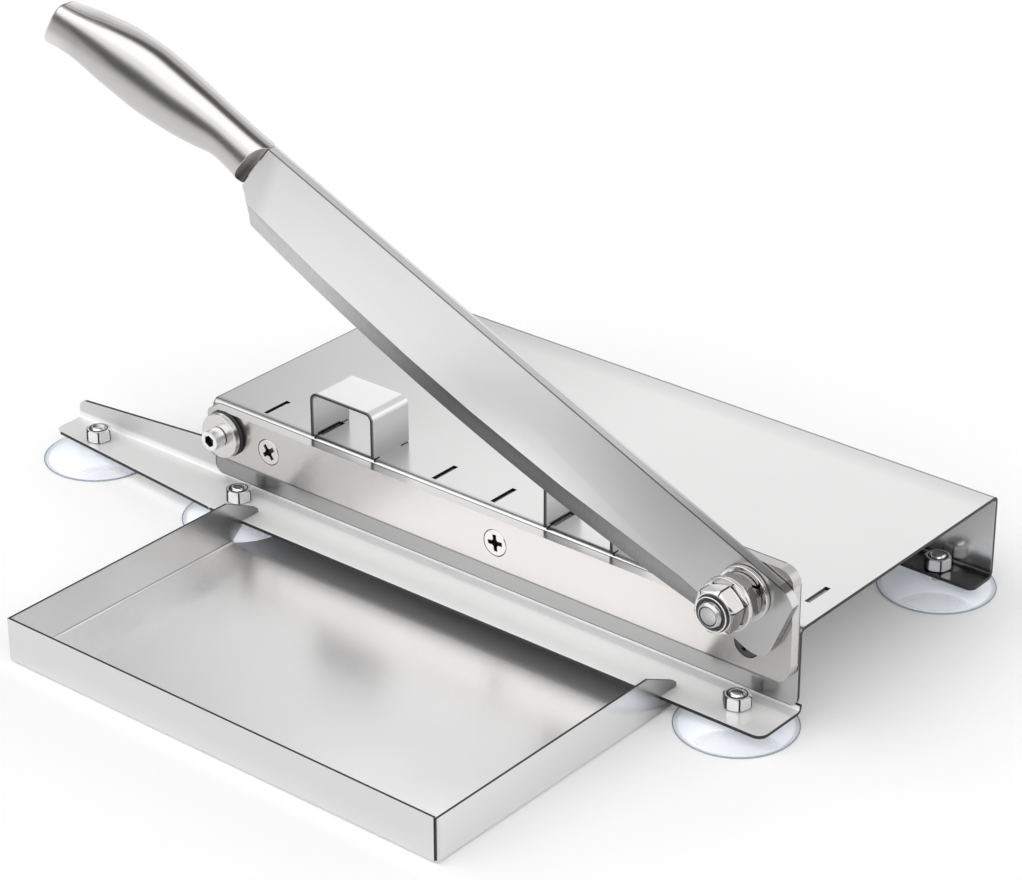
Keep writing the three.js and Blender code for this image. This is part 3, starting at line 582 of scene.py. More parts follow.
def sheetPiece(name, grid, keep, look, body, node):
    # the kept cells of an open grid, thickened away from the side that shows
    mesh = meshOf(name, grid, gridFaces(grid, False, False)[keep.ravel()], False)
    made = pieceOf(name, mesh, [look["finish"], "shadedEdge"], body, node)
    thick = made.modifiers.new("thickness", "SOLIDIFY")
    thick.thickness = look["sheet"] * mm
    thick.offset = -1
    thick.use_even_offset = True
    thick.material_offset_rim = 1
    soften(made, 0.18)


platformLook = {
    "finish": "satinSheet", "left": -106.3, "length": 294.0, "front": 0.2, "depth": 133.0,
    "top": 43.6, "sheet": 1.5, "bend": 3.0, "wallBottom": 10.3, "flangeBottom": 6.6,
    "flange": 14.7, "wallCorner": 4.0, "flangeCorner": 3.0, "slotWidth": 2.2,
    "slotLength": 13.6, "slotPitch": 30.0, "slotFirst": 26.0, "slotCount": 8, "slotFront": 4.2,
    "backSlots": (254.4, 284.4), "backSlotFront": 17.8, "plainRows": (45, 115, 8), "columns": 30,
}


def platformPiece(look):
    # one profile from the front wall over the top and down to the rear flange, drawn along X
    depth, low, high = look["depth"], look["wallBottom"], look["top"]
    flangeEnd = depth - look["flange"]
    corners = [[0, low], [0, high], [depth, high], [depth, look["flangeBottom"]]]
    corners.append([flangeEnd, look["flangeBottom"]])
    turn = 1 - np.cos(np.linspace(0, np.pi / 2, 7)[1:])
    length = look["slotLength"]
    line = withRows(foldedLine(corners, look["bend"]), 1, low + look["wallCorner"] * turn)
    slotRows = [look["slotFront"], look["slotFront"] + length]
    slotRows += [look["backSlotFront"] + 0.001, look["backSlotFront"] + length]
    flangeRows = flangeEnd + look["flangeCorner"] * turn
    plainRows = np.linspace(*look["plainRows"])
    line = withRows(line, 0, np.concatenate([slotRows, plainRows, flangeRows]))
    travel = np.concatenate([[0], np.cumsum(np.linalg.norm(np.diff(line, axis=0), axis=1))])
    inset = cornerInset(travel, look["wallCorner"])
    inset = inset + cornerInset(travel[-1] - travel, look["flangeCorner"])
    frontSlots = look["slotFirst"] + look["slotPitch"] * np.arange(look["slotCount"])
    half = look["slotWidth"] / 2
    slots = np.concatenate([frontSlots, look["backSlots"]])
    plain = np.linspace(0, look["length"], look["columns"])
    columns = np.unique(np.round(np.concatenate([slots - half, slots + half, plain]), 3))
    share = columns / look["length"]
    x = inset[:, None] + (look["length"] - 2 * inset[:, None]) * share
    y, z = line[:, :1] + 0 * x, line[:, 1:] + 0 * x
    grid = np.stack([x + look["left"], y + look["front"], z], axis=-1)
    middleX = (columns[:-1] + columns[1:]) / 2
    middleY, middleZ = ((line[:-1] + line[1:]) / 2).T
    onTop = np.abs(middleZ - high) < 0.01
    keep = np.ones((len(line) - 1, len(columns) - 1), bool)
    backSlots, backStart = look["backSlots"], look["backSlotFront"]
    for places, start in ((frontSlots, look["slotFront"]), (backSlots, backStart)):
        near = np.abs(middleX[:, None] - np.asarray(places)).min(axis=1) < half
        within = onTop & (start < middleY) & (middleY < start + length)
        keep &= ~(within[:, None] & near[None, :])
    sheetPiece("platformSheet", grid, keep, look, "stand", "platform")


guideLook = {
    "finish": "guideSheet", "width": 30.0, "sheet": 1.0, "bend": 2.5, "top": 62.7,
    "bottom": 43.9, "front": 0.5, "depth": 22.0, "tabFront": 4.7, "tabLength": 13.0,
    "tabTip": 39.1, "lefts": {"guide_left": -50.3, "guide_right": 69.7},
    "plainColumns": (9, 13), "edgeRows": 6,
}


def guidePiece(name, node, look):
    # a box profile drawn from front to back, its side walls ending in tabs for the slots
    half, tip, top = look["sheet"] / 2, look["tabTip"], look["top"]
    left, edge = look["lefts"][node], look["edgeRows"]
    low, high = left - half, left + look["width"] + half
    corners = [[low, tip], [low, top], [high, top], [high, tip]]
    line = withRows(foldedLine(corners, look["bend"]), 1, [look["bottom"]])
    line = withRows(line, 0, np.linspace(low + edge, high - edge, 4))
    tabEnds = [look["tabFront"], look["tabFront"] + look["tabLength"]]
    ends = [look["front"], look["front"] + look["depth"]]
    columns = np.sort(np.array([*ends, *tabEnds, *look["plainColumns"]]))
    y = columns[None, :] + 0 * line[:, :1]
    grid = np.stack([line[:, :1] + 0 * y, y, line[:, 1:] + 0 * y], axis=-1)
    onTab = (line[:-1, 1] + line[1:, 1]) / 2 < look["bottom"]
    middleY = (columns[:-1] + columns[1:]) / 2
    beside = (middleY < tabEnds[0]) | (middleY > tabEnds[1])
    sheetPiece(name, grid, ~(onTab[:, None] & beside[None, :]), look, f"{node}_body", node)


platformPiece(platformLook)
guidePiece("guideLeft", "guide_left", guideLook)
guidePiece("guideRight", "guide_right", guideLook)
print("sheet metal made")

handleLook = {
    "start": 250.0, "length": 121.7, "halfHeight": 14.0, "halfWidth": 10.0, "bow": 12.0,
    "neckPower": 2.2, "buttPower": 3.2, "powerFrom": 0.6, "buttLean": 7.4, "leanFrom": 0.75,
    "bolsterAlong": 255.3, "bolsterLean": 15.7, "spine": 12.5, "middle": -7.6,
    "scoopRadius": 9.0, "scoopOut": 8.8, "scoopAhead": 5.9, "rows": 150, "columns": 128,
    "crowding": 1.15, "buttRound": 0.016, "buttShrink": 0.17, "capRows": 14, "noseRows": 22,
    "pressDepth": 2.0, "pressShare": 0.84, "crisp": 50, "softness": 0.3,
}
# share of the length, then shares of the bow, half height and half width there
handleShares = np.array([
    [0, -0.1, 1.02, 0.8], [0.1, 0.1, 0.8, 0.78], [0.22, 0.185, 0.75, 0.78],
    [0.31, 0.08, 0.87, 0.85], [0.4, -0.01, 0.975, 0.95], [0.49, -0.08, 1.055, 1.0],
    [0.59, -0.16, 1.1, 1.01], [0.72, -0.27, 1.0, 0.99], [0.87, -0.5, 0.8, 0.81],
    [1, -0.86, 0.78, 0.6],
])


def smoothCurve(rows, count):
    # a cubic through the rows, each span set by its two ends and their neighbours
    place = np.linspace(0, len(rows) - 1, count)
    index = np.clip(place.astype(int), 0, len(rows) - 2)
    t = (place - index)[:, None]
    before, after = np.maximum(index - 1, 0), np.minimum(index + 2, len(rows) - 1)
    a, b, c, d = rows[before], rows[index], rows[index + 1], rows[after]
    slopeStart, slopeEnd = (c - a) / 2, (d - b) / 2
    cubic = (2 * b - 2 * c + slopeStart + slopeEnd) * t**3
    square = (3 * c - 3 * b - 2 * slopeStart - slopeEnd) * t**2
    return cubic + square + slopeStart * t + b


def smoothStep(value, low, high):
    # none below low and one above high, with no corner at either
    t = np.clip((value - low) / (high - low), 0, 1)
    return t * t * (3 - 2 * t)


def handleSection(look, along, angle, size=1.0):
    # half width and height at a share of the length, bulged by a power between oval and square
    table = smoothCurve(handleShares, 400)
    share = np.clip((along - look["start"]) / look["length"], 0, 1)
    bow, height, width = (np.interp(share, table[:, 0], table[:, i]) for i in (1, 2, 3))
    morePower = look["buttPower"] - look["neckPower"]
    power = look["neckPower"] + morePower * smoothStep(share, look["powerFrom"], 1)
    cosine, sine = np.cos(angle), np.sin(angle)
    rise = look["halfHeight"] * height * size * np.sign(sine) * np.abs(sine) ** (2 / power)
    side = look["halfWidth"] * width * size * np.sign(cosine) * np.abs(cosine) ** (2 / power)
    lean = np.tan(math.radians(look["buttLean"])) * smoothStep(share, look["leanFrom"], 1)
    return along - rise * lean, side, look["bow"] * bow + rise


def bolsterEnd(look, side, up):
    # the sloped plane of the bolster, hollowed by a cylinder on each side of the blade
    slope = np.tan(math.radians(look["bolsterLean"]))
    plane = look["bolsterAlong"] + (look["spine"] - up) * slope
    inside = np.maximum(look["scoopRadius"] ** 2 - (np.abs(side) - look["scoopOut"]) ** 2, 0)
    return plane + np.maximum(np.sqrt(inside) - look["scoopAhead"], 0)


def handlePoints(look):
    # a nose that closes the bolster, sections from there to the butt, and a cap over the butt
    angle = fullTurn(look["columns"])[None, :]
    front = np.full_like(angle, look["bolsterAlong"])
    for _ in range(8):  # the end's place depends on the section there and settles in a few rounds
        _, side, up = handleSection(look, front, angle)
        front = bolsterEnd(look, side, up)
    last = look["start"] + look["length"]
    share = 1 - (1 - np.linspace(0, 1, look["rows"])[:, None]) ** look["crowding"]
    along = front + (last - front) * share
    over = np.clip((share - 1 + look["buttRound"]) / look["buttRound"], 0, 1)
    size = 1 - look["buttShrink"] * (1 - np.sqrt(1 - over**2))
    skin = np.stack(handleSection(look, along, angle + 0 * share, size), axis=-1)
    closing = np.linspace(1, 0, look["capRows"])[1:, None, None]
    middle = skin[-1].mean(axis=0)
    cap = middle + (skin[-1][None] - middle) * closing
    closing = np.linspace(0, 1, look["noseRows"])[:-1, None]
    side, up = skin[0, :, 1][None] * closing, skin[0, :, 2][None] * closing
    nose = np.stack([bolsterEnd(look, side, up), side, up], axis=-1)
    return np.concatenate([nose, skin, cap])


def onLever(points, middle):
    # along the lever, across it and up from it, turned to the open position about the pivot
    along, side, up = np.moveaxis(points, -1, 0)
    x = leverPivot[0] - along * math.cos(leverAngle) + up * math.sin(leverAngle)
    z = leverPivot[2] + along * math.sin(leverAngle) + up * math.cos(leverAngle)
    return np.stack([x, leverPivot[1] + middle + side, z], axis=-1)


def pressedDown(points, top, look):
    # what lies above a level is pressed towards it, so that a rounder skin keeps to its box
    x, y, z = np.moveaxis(points, -1, 0)
    level = top - look["pressDepth"]
    pressed = level + (z - top + look["pressDepth"]) * look["pressShare"]
    return np.stack([x, y, np.where(z > level, pressed, z)], -1)


def inHollow(look, middle):
    # faces of the bolster's hollowed end, told by their place on its surface
    nearness = 0.2
    x, z = middle[:, 0] - leverPivot[0], middle[:, 2] - leverPivot[2]
    along = z * math.sin(leverAngle) - x * math.cos(leverAngle)
    up = x * math.sin(leverAngle) + z * math.cos(leverAngle)
    side = middle[:, 1] - leverPivot[1] - look["middle"]
    return np.abs(along - bolsterEnd(look, side, up)) < nearness


handleGrid = onLever(handlePoints(handleLook), handleLook["middle"])
handleGrid = pressedDown(handleGrid, boxOf("handle")[1][2], handleLook)
# painted shade: the bolster's hollowed end is dark
handleShell = gridPiece(
    "handleShell", "handle", handleGrid, ["handleSatin", "shadedSteel"],
    crisp=handleLook["crisp"], body="lever", mark=lambda middle: inHollow(handleLook, middle),
)
soften(handleShell, handleLook["softness"], handleLook["crisp"])
print("handle made")

# Each nut's width across its flats, turn about its axis, bore, pitch of thread and height. All
# share a shape: where the chamfer starts on the face, its slope, the bore's mouth and the thread
nutLooks = {
    "jam_nut": {"flats": 18.4, "turn": 18, "bore": 5.0, "pitch": 1.5, "height": 4.7},
    "lock_nut": {"flats": 16.5, "turn": 47, "bore": 5.0, "pitch": 1.5, "height": 7.2},
    "stop_nut": {"flats": 8.0, "turn": 30, "bore": 2.5, "pitch": 0.8, "height": 4.0},
    "plate_nut": {"flats": 10.0, "turn": 30, "bore": 3.0, "pitch": 1.0, "height": 5.0},
    "cup_nut": {"flats": 10.0, "turn": 45, "bore": 3.0, "pitch": 1.0},
}
nutShape = {"columns": 96, "faceShare": 0.94, "chamfer": 30, "mouth": 0.5, "crisp": 28}
# Depths of thread are shares of the pitch, and rows are counted for each pitch
threadShape = {"nutDepth": 0.3, "nutRows": 8, "boltDepth": 0.32, "boltRows": 10, "leastRows": 12}


def hexRadius(angle, flats, turn):
    # distance to a hexagon's side in each direction
    within = (angle - turn + np.pi / 6) % (np.pi / 3) - np.pi / 6
    return flats / 2 / np.cos(within)


def threadWave(along, angle, pitch):
    # from none to one and back for each pitch, climbing one pitch a turn
    return np.abs(((along / pitch - angle / (2 * np.pi)) % 1) * 2 - 1)


def nutPoints(look):
    # face, chamfered rim, six sides and the other face, then the threaded bore back
    columns, mouth = nutShape["columns"], look["bore"] + nutShape["mouth"]
    angle = fullTurn(columns) + math.radians(look["turn"])
    outside = hexRadius(angle, look["flats"], math.radians(look["turn"]))
    faceEdge = look["flats"] / 2 * nutShape["faceShare"]
    fall = np.maximum(outside - faceEdge, 0) * math.tan(math.radians(nutShape["chamfer"]))
    height, pitch, flat = look["height"], look["pitch"], np.ones(columns)
    rim = np.minimum(outside, faceEdge)
    rows = [
        (mouth * flat, 0 * flat), (rim, 0 * flat), (outside, fall),
        (outside, height / 2 * flat), (outside, height - fall), (rim, height * flat),
        ((faceEdge + mouth) / 2 * flat, height * flat), (mouth * flat, height * flat),
    ]
    edge, count = nutShape["mouth"], threadShape["nutRows"]
    for along in np.linspace(height - edge, edge, max(int(height / pitch * count), count)):
        wave = threadWave(along, angle, pitch)
        rows.append((look["bore"] - pitch * threadShape["nutDepth"] * wave, along * flat))
    radius, along = (np.stack(part) for part in zip(*rows))
    return polar(radius, angle, along)


def threadPoints(look, low, high):
    # radius falls and rises as a wave that climbs one pitch a turn, with a chamfered end
    pitch = look["pitch"]
    count = max(int((high - low) / pitch * threadShape["boltRows"]), threadShape["leastRows"])
    along = np.linspace(low, high, count)[:, None]
    angle = fullTurn(look["columns"])[None, :]
    radius = look["radius"] - pitch * threadShape["boltDepth"] * threadWave(along, angle, pitch)
    chamfer = look["tipRadius"] + np.maximum(high - along, 0)
    return polar(np.minimum(radius, chamfer), angle, along)


def nutPiece(name, node, grid, finish="brightSteel", mark=None, softness=0.12):
    # a nut from its grid, with a hair of rounding on its edges
    crisp = nutShape["crisp"]
    made = gridPiece(name, node, grid, finish, closed=True, crisp=crisp, mark=mark)
    soften(made, softness, crisp)


def frontNut(name, node, look, finish="brightSteel", mark=None):
    # a nut about an axis along Y, started at its back
    nutPiece(name, node, laidAlong(nutPoints(look), seatOf(node, 1), -1), finish, mark)


def nearFace(middle):
    # the second finish within a short way of the jam nut's front and back
    reach = 0.35
    low, high = boxOf("jam_nut")
    return np.minimum(middle[:, 1] - low[1], high[1] - middle[:, 1]) < reach


# painted light and shade: the jam nut's sides are the darker steel and the faces near its front
# and back the lighter one
frontNut("jamNut", "jam_nut", nutLooks["jam_nut"], ["greySteel", "nutFacet"], nearFace)
frontNut("stopNut", "stop_nut", nutLooks["stop_nut"])
for number in (1, 2, 3):
    frontNut(f"plateNut{number}", f"plate_nut_{number}", nutLooks["plate_nut"])

washerLooks = {
    "pivot_washer": {"inner": 5.3, "outer": 11.0, "round": 0.5},
    "outer_washer": {"inner": 5.3, "outer": 10.75, "round": 0.5},
    "stop_washer": {"inner": 2.8, "outer": 9.6, "round": 0.45},
    "stop_ring": {"inner": 2.8, "outer": 10.0, "round": 0.8},
    "lock_nut_insert": {"inner": 5.25, "outer": 6.1, "round": 0.2},
}
springLook = {
    "inner": 5.3, "outer": 9.0, "round": 0.35, "slit": 1.6, "slitTurn": 48, "lean": 35,
    "rows": 120,
}


def thicknessOf(node):
    # a node's size along Y
    low, high = boxOf(node)
    return high[1] - low[1]


def ringProfile(look, thick):
    # a rectangle between two radii, with its corners rounded
    inner, outer = look["inner"], look["outer"]
    corners = [[inner, 0], [outer, 0], [outer, thick], [inner, thick]]
    return roundedProfile(corners, look["round"])


def washer(name, node, seat, finish="brightSteel"):
    # a ring about an axis along Y, started at its back
    ring = turnedPoints(ringProfile(washerLooks[node], thicknessOf(node)), nutShape["columns"])
    gridPiece(name, node, laidAlong(ring, seat, -1), finish, closed=True)


washer("pivotWasher", "pivot_washer", seatOf("pivot_washer", 1))
washer("outerWasher", "outer_washer", seatOf("outer_washer", 1))
washer("stopWasher", "stop_washer", seatOf("stop_washer", 1))
washer("stopRing", "stop_ring", seatOf("stop_ring", 1), "blackRubber")


def springRing(look):
    # a rounded section carried round the axis, its two ends leaning across the slit
    thick = thicknessOf("spring_washer")
    profile = ringProfile(look, thick)
    radius, along = profile[None, :, 0], profile[None, :, 1]
    tilt = (along - thick / 2) * math.tan(math.radians(look["lean"]))
    start = (tilt + look["slit"] / 2) / radius
    end = 2 * np.pi + (tilt - look["slit"] / 2) / radius
    share = np.linspace(0, 1, look["rows"])[:, None]
    angle = start + (end - start) * share + math.radians(90 - look["slitTurn"])
    ring = polar(radius, angle, along)
    first, last = (np.tile(row.mean(axis=1, keepdims=True), (1, ring.shape[1], 1))
                   for row in (ring[:1], ring[-1:]))
    grid = laidAlong(np.concatenate([first, ring, last]), seatOf("spring_washer", 1), -1)
    gridPiece("springWasher", "spring_washer", grid, "greySteel")


springRing(springLook)

# painted light and shade: the skins paint dark lines, one side darker and one lighter
lockNutLook = nutLooks["lock_nut"] | {
    "collarRadius": 6.9, "collarHeight": 1.6, "collarInner": 6.4, "collarRows": 9,
    "skins": ["nutFacet", "nutLine", "greySteel", "brightSteel"], "greySide": 5, "brightSide": 0,
    "lineTurn": 28, "lineHalf": 2, "footWidth": 0.5,
}


def lockNutPoints(look):
    # a nut whose front face rises into a rolled collar around the nylon ring
    body = nutPoints(look)
    angle = fullTurn(nutShape["columns"]) + math.radians(look["turn"])
    top, outer, inner = look["height"], look["collarRadius"], look["collarInner"]
    rolled = np.linspace(0, np.pi, look["collarRows"])
    half = (outer - inner) / 2
    roll = inner + half + half * np.cos(rolled)
    radius = np.concatenate([[outer + 0.5, outer + 0.1], roll, [inner]])
    crest = top + look["collarHeight"] - half
    along = np.concatenate([[top, top + 0.3], crest + half * np.sin(rolled), [top - 0.2]])
    collar = polar(radius[:, None], angle, along[:, None])
    return np.concatenate([body[:6], collar, body[8:]])  # the rows of the plain face are left out


def lockNutSkin(look, middle):
    # which finish each face has: painted shade as a dark corner line and collar foot, and one side
    # painted in shade and one painted lit, told by their turn
    angle = np.degrees(np.arctan2(middle[:, 2], middle[:, 0])) - look["turn"]
    radius = np.hypot(middle[:, 0], middle[:, 2])
    collar = look["collarRadius"]
    side = np.floor(((angle + 30) % 360) / 60)
    onSide = radius > collar + 1
    bright = np.where(onSide & (side == look["brightSide"]), 3, 0)
    skin = np.where(onSide & (side == look["greySide"]), 2, bright)
    corner = onSide & (np.abs(angle % 60 - look["lineTurn"]) < look["lineHalf"])
    foot = (radius > collar) & (radius < collar + look["footWidth"])
    return np.where(corner | foot, 1, skin)


def pivotSeat(node):
    # on the pivot's axis, at the back of a node
    return np.array([leverPivot[0], boxOf(node)[1][1], leverPivot[2]])


pivotAxis = np.array([leverPivot[0], 0, leverPivot[2]])
nutPiece(
    "lockNut", "lock_nut", laidAlong(lockNutPoints(lockNutLook), pivotSeat("lock_nut"), -1),
    lockNutLook["skins"], lambda middle: lockNutSkin(lockNutLook, middle - pivotAxis),
)
washer("lockNutRing", "lock_nut_insert", pivotSeat("lock_nut_insert"), "blackNylon")

# Bolts: profiles are pairs of a radius and a place along, from the head's outer face or, in a
# dish, from the tip. A line is a ring of faces painted dark as shade, and recess a disc of them
# painted dark as shade.
boltLooks = {
    "pivot": {
        "radius": 5.0, "tipRadius": 4.1, "pitch": 1.5, "columns": 96, "headHeight": 5.5,
        "headRadius": 8.75, "headFace": 4.6, "socketFlats": 6.0, "socketDepth": 3.0, "smooth": 9,
        "dish": [[3.9, 0], [3.4, -0.25], [1.5, -0.4], [0, -0.42]],
        "lineRadius": 3.65, "lineHalf": 0.2, "lineDepth": 0.3,
    },
    "foot": {"radius": 3.0, "tipRadius": 2.4, "pitch": 1.0, "columns": 48},
    "stop": {
        "radius": 2.5, "tipRadius": 2.1, "pitch": 0.8, "columns": 48, "socketFlats": 4.4,
        "socketDepth": 2.6, "threadFrom": 5.6, "recess": 2.6, "recessDepth": 0.3,
        "barrel": [[3.9, 0], [4.2, 0.12], [4.3, 0.4], [4.3, 5.35], [4.15, 5.5], [2.5, 5.5]],
    },
    "screw": {"radius": 3.0, "tipRadius": 2.5, "pitch": 1.0, "columns": 120},
}


def socketRows(look):
    # a six-sided well, from its floor's middle out to its mouth
    flats, depth, angle = look["socketFlats"], look["socketDepth"], fullTurn(look["columns"])
    radius = hexRadius(angle, flats, 0)
    levels = [(0.0, depth * 1.15), (0.85, depth), (1.0, depth), (1.0, 0.25), (1.06, 0.0)]
    return np.stack([polar(share * radius, angle, level) for share, level in levels])


def pivotBoltPiece(look):
    # threaded shank with a dished tip, and a domed head with a socket behind the ear
    columns, length = look["columns"], thicknessOf("pivot_bolt")
    height, radius, face = look["headHeight"], look["headRadius"], look["headFace"]
    sweep = np.linspace(0, np.pi / 2, 8)
    dome = [[face + (radius - face) * math.sin(a), height * (1 - math.cos(a))] for a in sweep]
    head = turnedPoints([*dome, [radius - 0.1, height], [look["radius"], height]], columns)
    thread = threadPoints(look, height + look["smooth"], length)
    dish = turnedPoints(np.array(look["dish"]) + [0, length], columns)
    grid = np.concatenate([socketRows(look), head, thread, dish])
    front = boxOf("pivot_bolt")[0][1]

    def inLine(middle):
        # painted shade: the dark ring round the dish in the tip
        away = np.abs(awayFrom(middle, pivotAxis, [0, 2]) - look["lineRadius"])
        return (away < look["lineHalf"]) & (middle[:, 1] < front + look["lineDepth"])

    grid = laidAlong(grid, pivotSeat("pivot_bolt"), -1)
    gridPiece("pivotBolt", "pivot_bolt", grid, ["boltSteel", "nutLine"], mark=inLine)


def recessed(seat, reach, depth):
    # tells the faces of a well: near enough to the axis and behind the head's face
    def inWell(middle):
        return (awayFrom(middle, seat, [0, 2]) < reach) & (middle[:, 1] > seat[1] + depth)

    return inWell


def stopBoltPiece(look):
    # cap screw seen from its head: socket, chamfered barrel, threaded shank
    columns, length, seat = look["columns"], thicknessOf("stop_bolt"), seatOf("stop_bolt", 0)
    barrel = turnedPoints(look["barrel"], columns)
    thread = threadPoints(look, look["threadFrom"], length)
    tip = turnedPoints([[1.9, length], [0, length]], columns)
    grid = np.concatenate([socketRows(look), barrel, thread, tip])
    # painted shade: the socket's well is near black
    gridPiece(
        "stopBolt", "stop_bolt", laidAlong(grid, seat, 1), ["nutFacet", "recessShade"],
        mark=recessed(seat, look["recess"], look["recessDepth"]),
    )


pivotBoltPiece(boltLooks["pivot"])
stopBoltPiece(boltLooks["stop"])

# painted shade: the cross's well is near black, and the third screw, under the blade's heel, is
# dark all over
screwLook = {
    "headRadius": 5.4, "rim": 0.5, "headDepth": 2.9, "armReach": 3.5, "armHalf": 0.85,
    "corner": 1.7, "taper": 0.42, "recess": 2.1, "darkRim": 0.3, "darkDepth": 0.35,
    "shank": 3.0, "edge": 0.15, "rows": 46, "turn": 22, "turnEach": 31,
    "skins": ("brightSteel", "brightSteel", "shadedSteel"),
}


def crossDepth(look, x, y):
    # depth of a cross-shaped well: full inside both arms, with steep tapered walls
    across, up = np.abs(x), np.abs(y)
    lengthwise = np.maximum(across - look["armReach"], up - look["armHalf"])
    upright = np.maximum(up - look["armReach"], across - look["armHalf"])
    corner = np.hypot(across, up) - look["corner"]
    inside = np.minimum(np.minimum(lengthwise, upright), corner)
    return look["recess"] * np.clip(-inside / look["taper"], 0, 1) ** 0.8


def plateScrewPiece(number, look, thread):
    # a flat head with a cross in it, its cone underneath, a threaded shank and a flat tip
    node = f"plate_screw_{number}"
    columns, length, seat = thread["columns"], thicknessOf(node), seatOf(node, 0)
    edge, head, depth = look["edge"], look["headRadius"], look["headDepth"]
    radius = np.linspace(0, 1, look["rows"])[:, None] ** 0.85 * (head - edge)
    angle = fullTurn(columns)[None, :]
    turn = math.radians(look["turn"] + look["turnEach"] * number)
    x, y = radius * np.cos(angle), radius * np.sin(angle)
    crossX = x * math.cos(turn) - y * math.sin(turn)
    crossY = x * math.sin(turn) + y * math.cos(turn)
    face = np.stack([x, y, crossDepth(look, crossX, crossY)], axis=-1)
    rim = turnedPoints([[head, edge], [head, look["rim"]], [look["shank"], depth]], columns)
    shank = threadPoints(thread, depth + 0.1, length)
    tip = turnedPoints([[2.3, length], [0, length]], columns)
    gridPiece(
        f"plateScrew{number}", node, laidAlong(np.concatenate([face, rim, shank, tip]), seat, 1),
        [look["skins"][number - 1], "recessShade"],
        mark=recessed(seat, look["armReach"] + look["darkRim"], look["darkDepth"]),
    )


for number in (1, 2, 3):
    plateScrewPiece(number, screwLook, boltLooks["screw"])
print("pivot, stop and plate screws made")

cupLook = {
    "radius": 23.7, "lip": 0.7, "lipWidth": 2.0, "shoulder": 5.3, "neck": 9.0, "neckRound": 0.5,
    "hollow": 3.8, "height": 6.3, "bore": 3.3, "columns": 128, "steps": 26,
}
studLook = {"headRadius": 5.5, "headTop": 3.5, "headHeight": 1.5, "edge": 0.3}
# painted shade: lineHalf, darkSide, sideHalf and groove set where the foot nuts are painted dark
footNutLook = nutLooks["cup_nut"] | {
    "lineHalf": 4, "darkSide": 232, "sideHalf": 30, "groove": 0.41,
    "skins": ["nutFacet", "nutLine"],
}


def arc(start, end, count, size, middle):
    # part of a circle of a radius about a middle
    turn = np.linspace(start, end, count)
    return np.stack([middle[0] + size * np.cos(turn), middle[1] + size * np.sin(turn)], 1)


def cupProfile(look):
    # outer skin: radius shrinks evenly while height swells like a sine; hollow the same way
    share = np.linspace(0, 1, look["steps"])
    swell = np.sin(np.pi / 2 * share)
    half, neckRound = look["lip"] / 2, look["neckRound"]
    lip = arc(-np.pi / 2, np.pi / 2, 7, half, [look["radius"] - half, half])
    outer = look["radius"] - half + (look["neck"] - look["radius"] + half) * share
    dome = np.stack([outer, look["lip"] + (look["shoulder"] - look["lip"]) * swell], 1)
    neckMiddle = [look["neck"] - neckRound, look["height"] - neckRound]
    neck = arc(0, np.pi / 2, 6, neckRound, neckMiddle)
    inside = look["radius"] - look["lipWidth"]
    hollow = np.stack([inside + (look["bore"] - inside) * share, look["hollow"] * swell], 1)
    return np.concatenate([lip, dome[1:], neck, [[look["bore"], look["height"]]], hollow[::-1]])


def inNutLine(look, middle, top):
    # painted shade: dark lines at a nut's corners, its left side darker, and a dark ring round the
    # thread
    angle = np.degrees(np.arctan2(middle[:, 1], middle[:, 0]))
    corner = np.abs((angle - look["turn"]) % 60 - 30) < look["lineHalf"]
    left = np.abs((angle - look["darkSide"] + 180) % 360 - 180) < look["sideHalf"]
    groove = awayFrom(middle, 0, [0, 1]) < look["flats"] * look["groove"]
    return (groove & (middle[:, 2] > top)) | ((corner | left) & (middle[:, 2] < top))


def foot(name, cup, stud, thread):
    # a clear cup, its threaded stud and the nut on it, all about one upright axis
    low, high = boxOf(f"cup_{name}")
    centre = np.array([(low[0] + high[0]) / 2, (low[1] + high[1]) / 2, 0])
    label = "".join(word.capitalize() for word in name.split("_"))
    rim = cup["radius"] - cup["lip"] * 0.75
    # painted shade: the lip takes the darker vinylRim
    gridPiece(
        f"cup{label}", f"cup_{name}", turnedPoints(cupProfile(cup), cup["columns"]) + centre,
        ["clearVinyl", "vinylRim"], closed=True, crisp=50,
        mark=lambda middle: awayFrom(middle, centre, [0, 1]) > rim,
    )
    top, columns = boxOf(f"cup_stud_{name}")[1][2], thread["columns"]
    radius, seat, edge = stud["headRadius"], stud["headTop"], stud["edge"]
    bottom = seat - stud["headHeight"]
    head = [[0, bottom], [radius - edge, bottom], [radius, bottom + edge], [radius, seat]]
    head = turnedPoints([*head, [thread["radius"], seat]], columns)
    shank = threadPoints(thread, seat + 0.1, top - 0.15)
    crown = turnedPoints([[2.2, top - 0.1], [1.5, top - 0.02], [0, top]], columns)
    grid = np.concatenate([head, shank, crown]) + centre
    gridPiece(f"stud{label}", f"cup_stud_{name}", grid, "brightSteel")
    low, high = boxOf(f"cup_nut_{name}")
    look = footNutLook | {"height": high[2] - low[2]}
    nutPiece(
        f"footNut{label}", f"cup_nut_{name}", nutPoints(look) + [*centre[:2], low[2]],
        look["skins"], lambda middle: inNutLine(look, middle - centre, high[2] - 0.05), 0.1,
    )


for name in ("front_left", "front_right", "far_left", "rear_left", "rear_right"):
    foot(name, cupLook, studLook, boltLooks["foot"])
print("feet made")

stageLook = {
    "floorLeft": -1.6, "floorRight": 1.6, "floorFront": -0.38, "floorBack": 3.4,
    "floorLevel": 0.99, "floorGlow": 0.04, "roomLevel": 0.1, "backdropTop": 5, "backdropSoft": 6,
    "backdropHalf": 100,
}
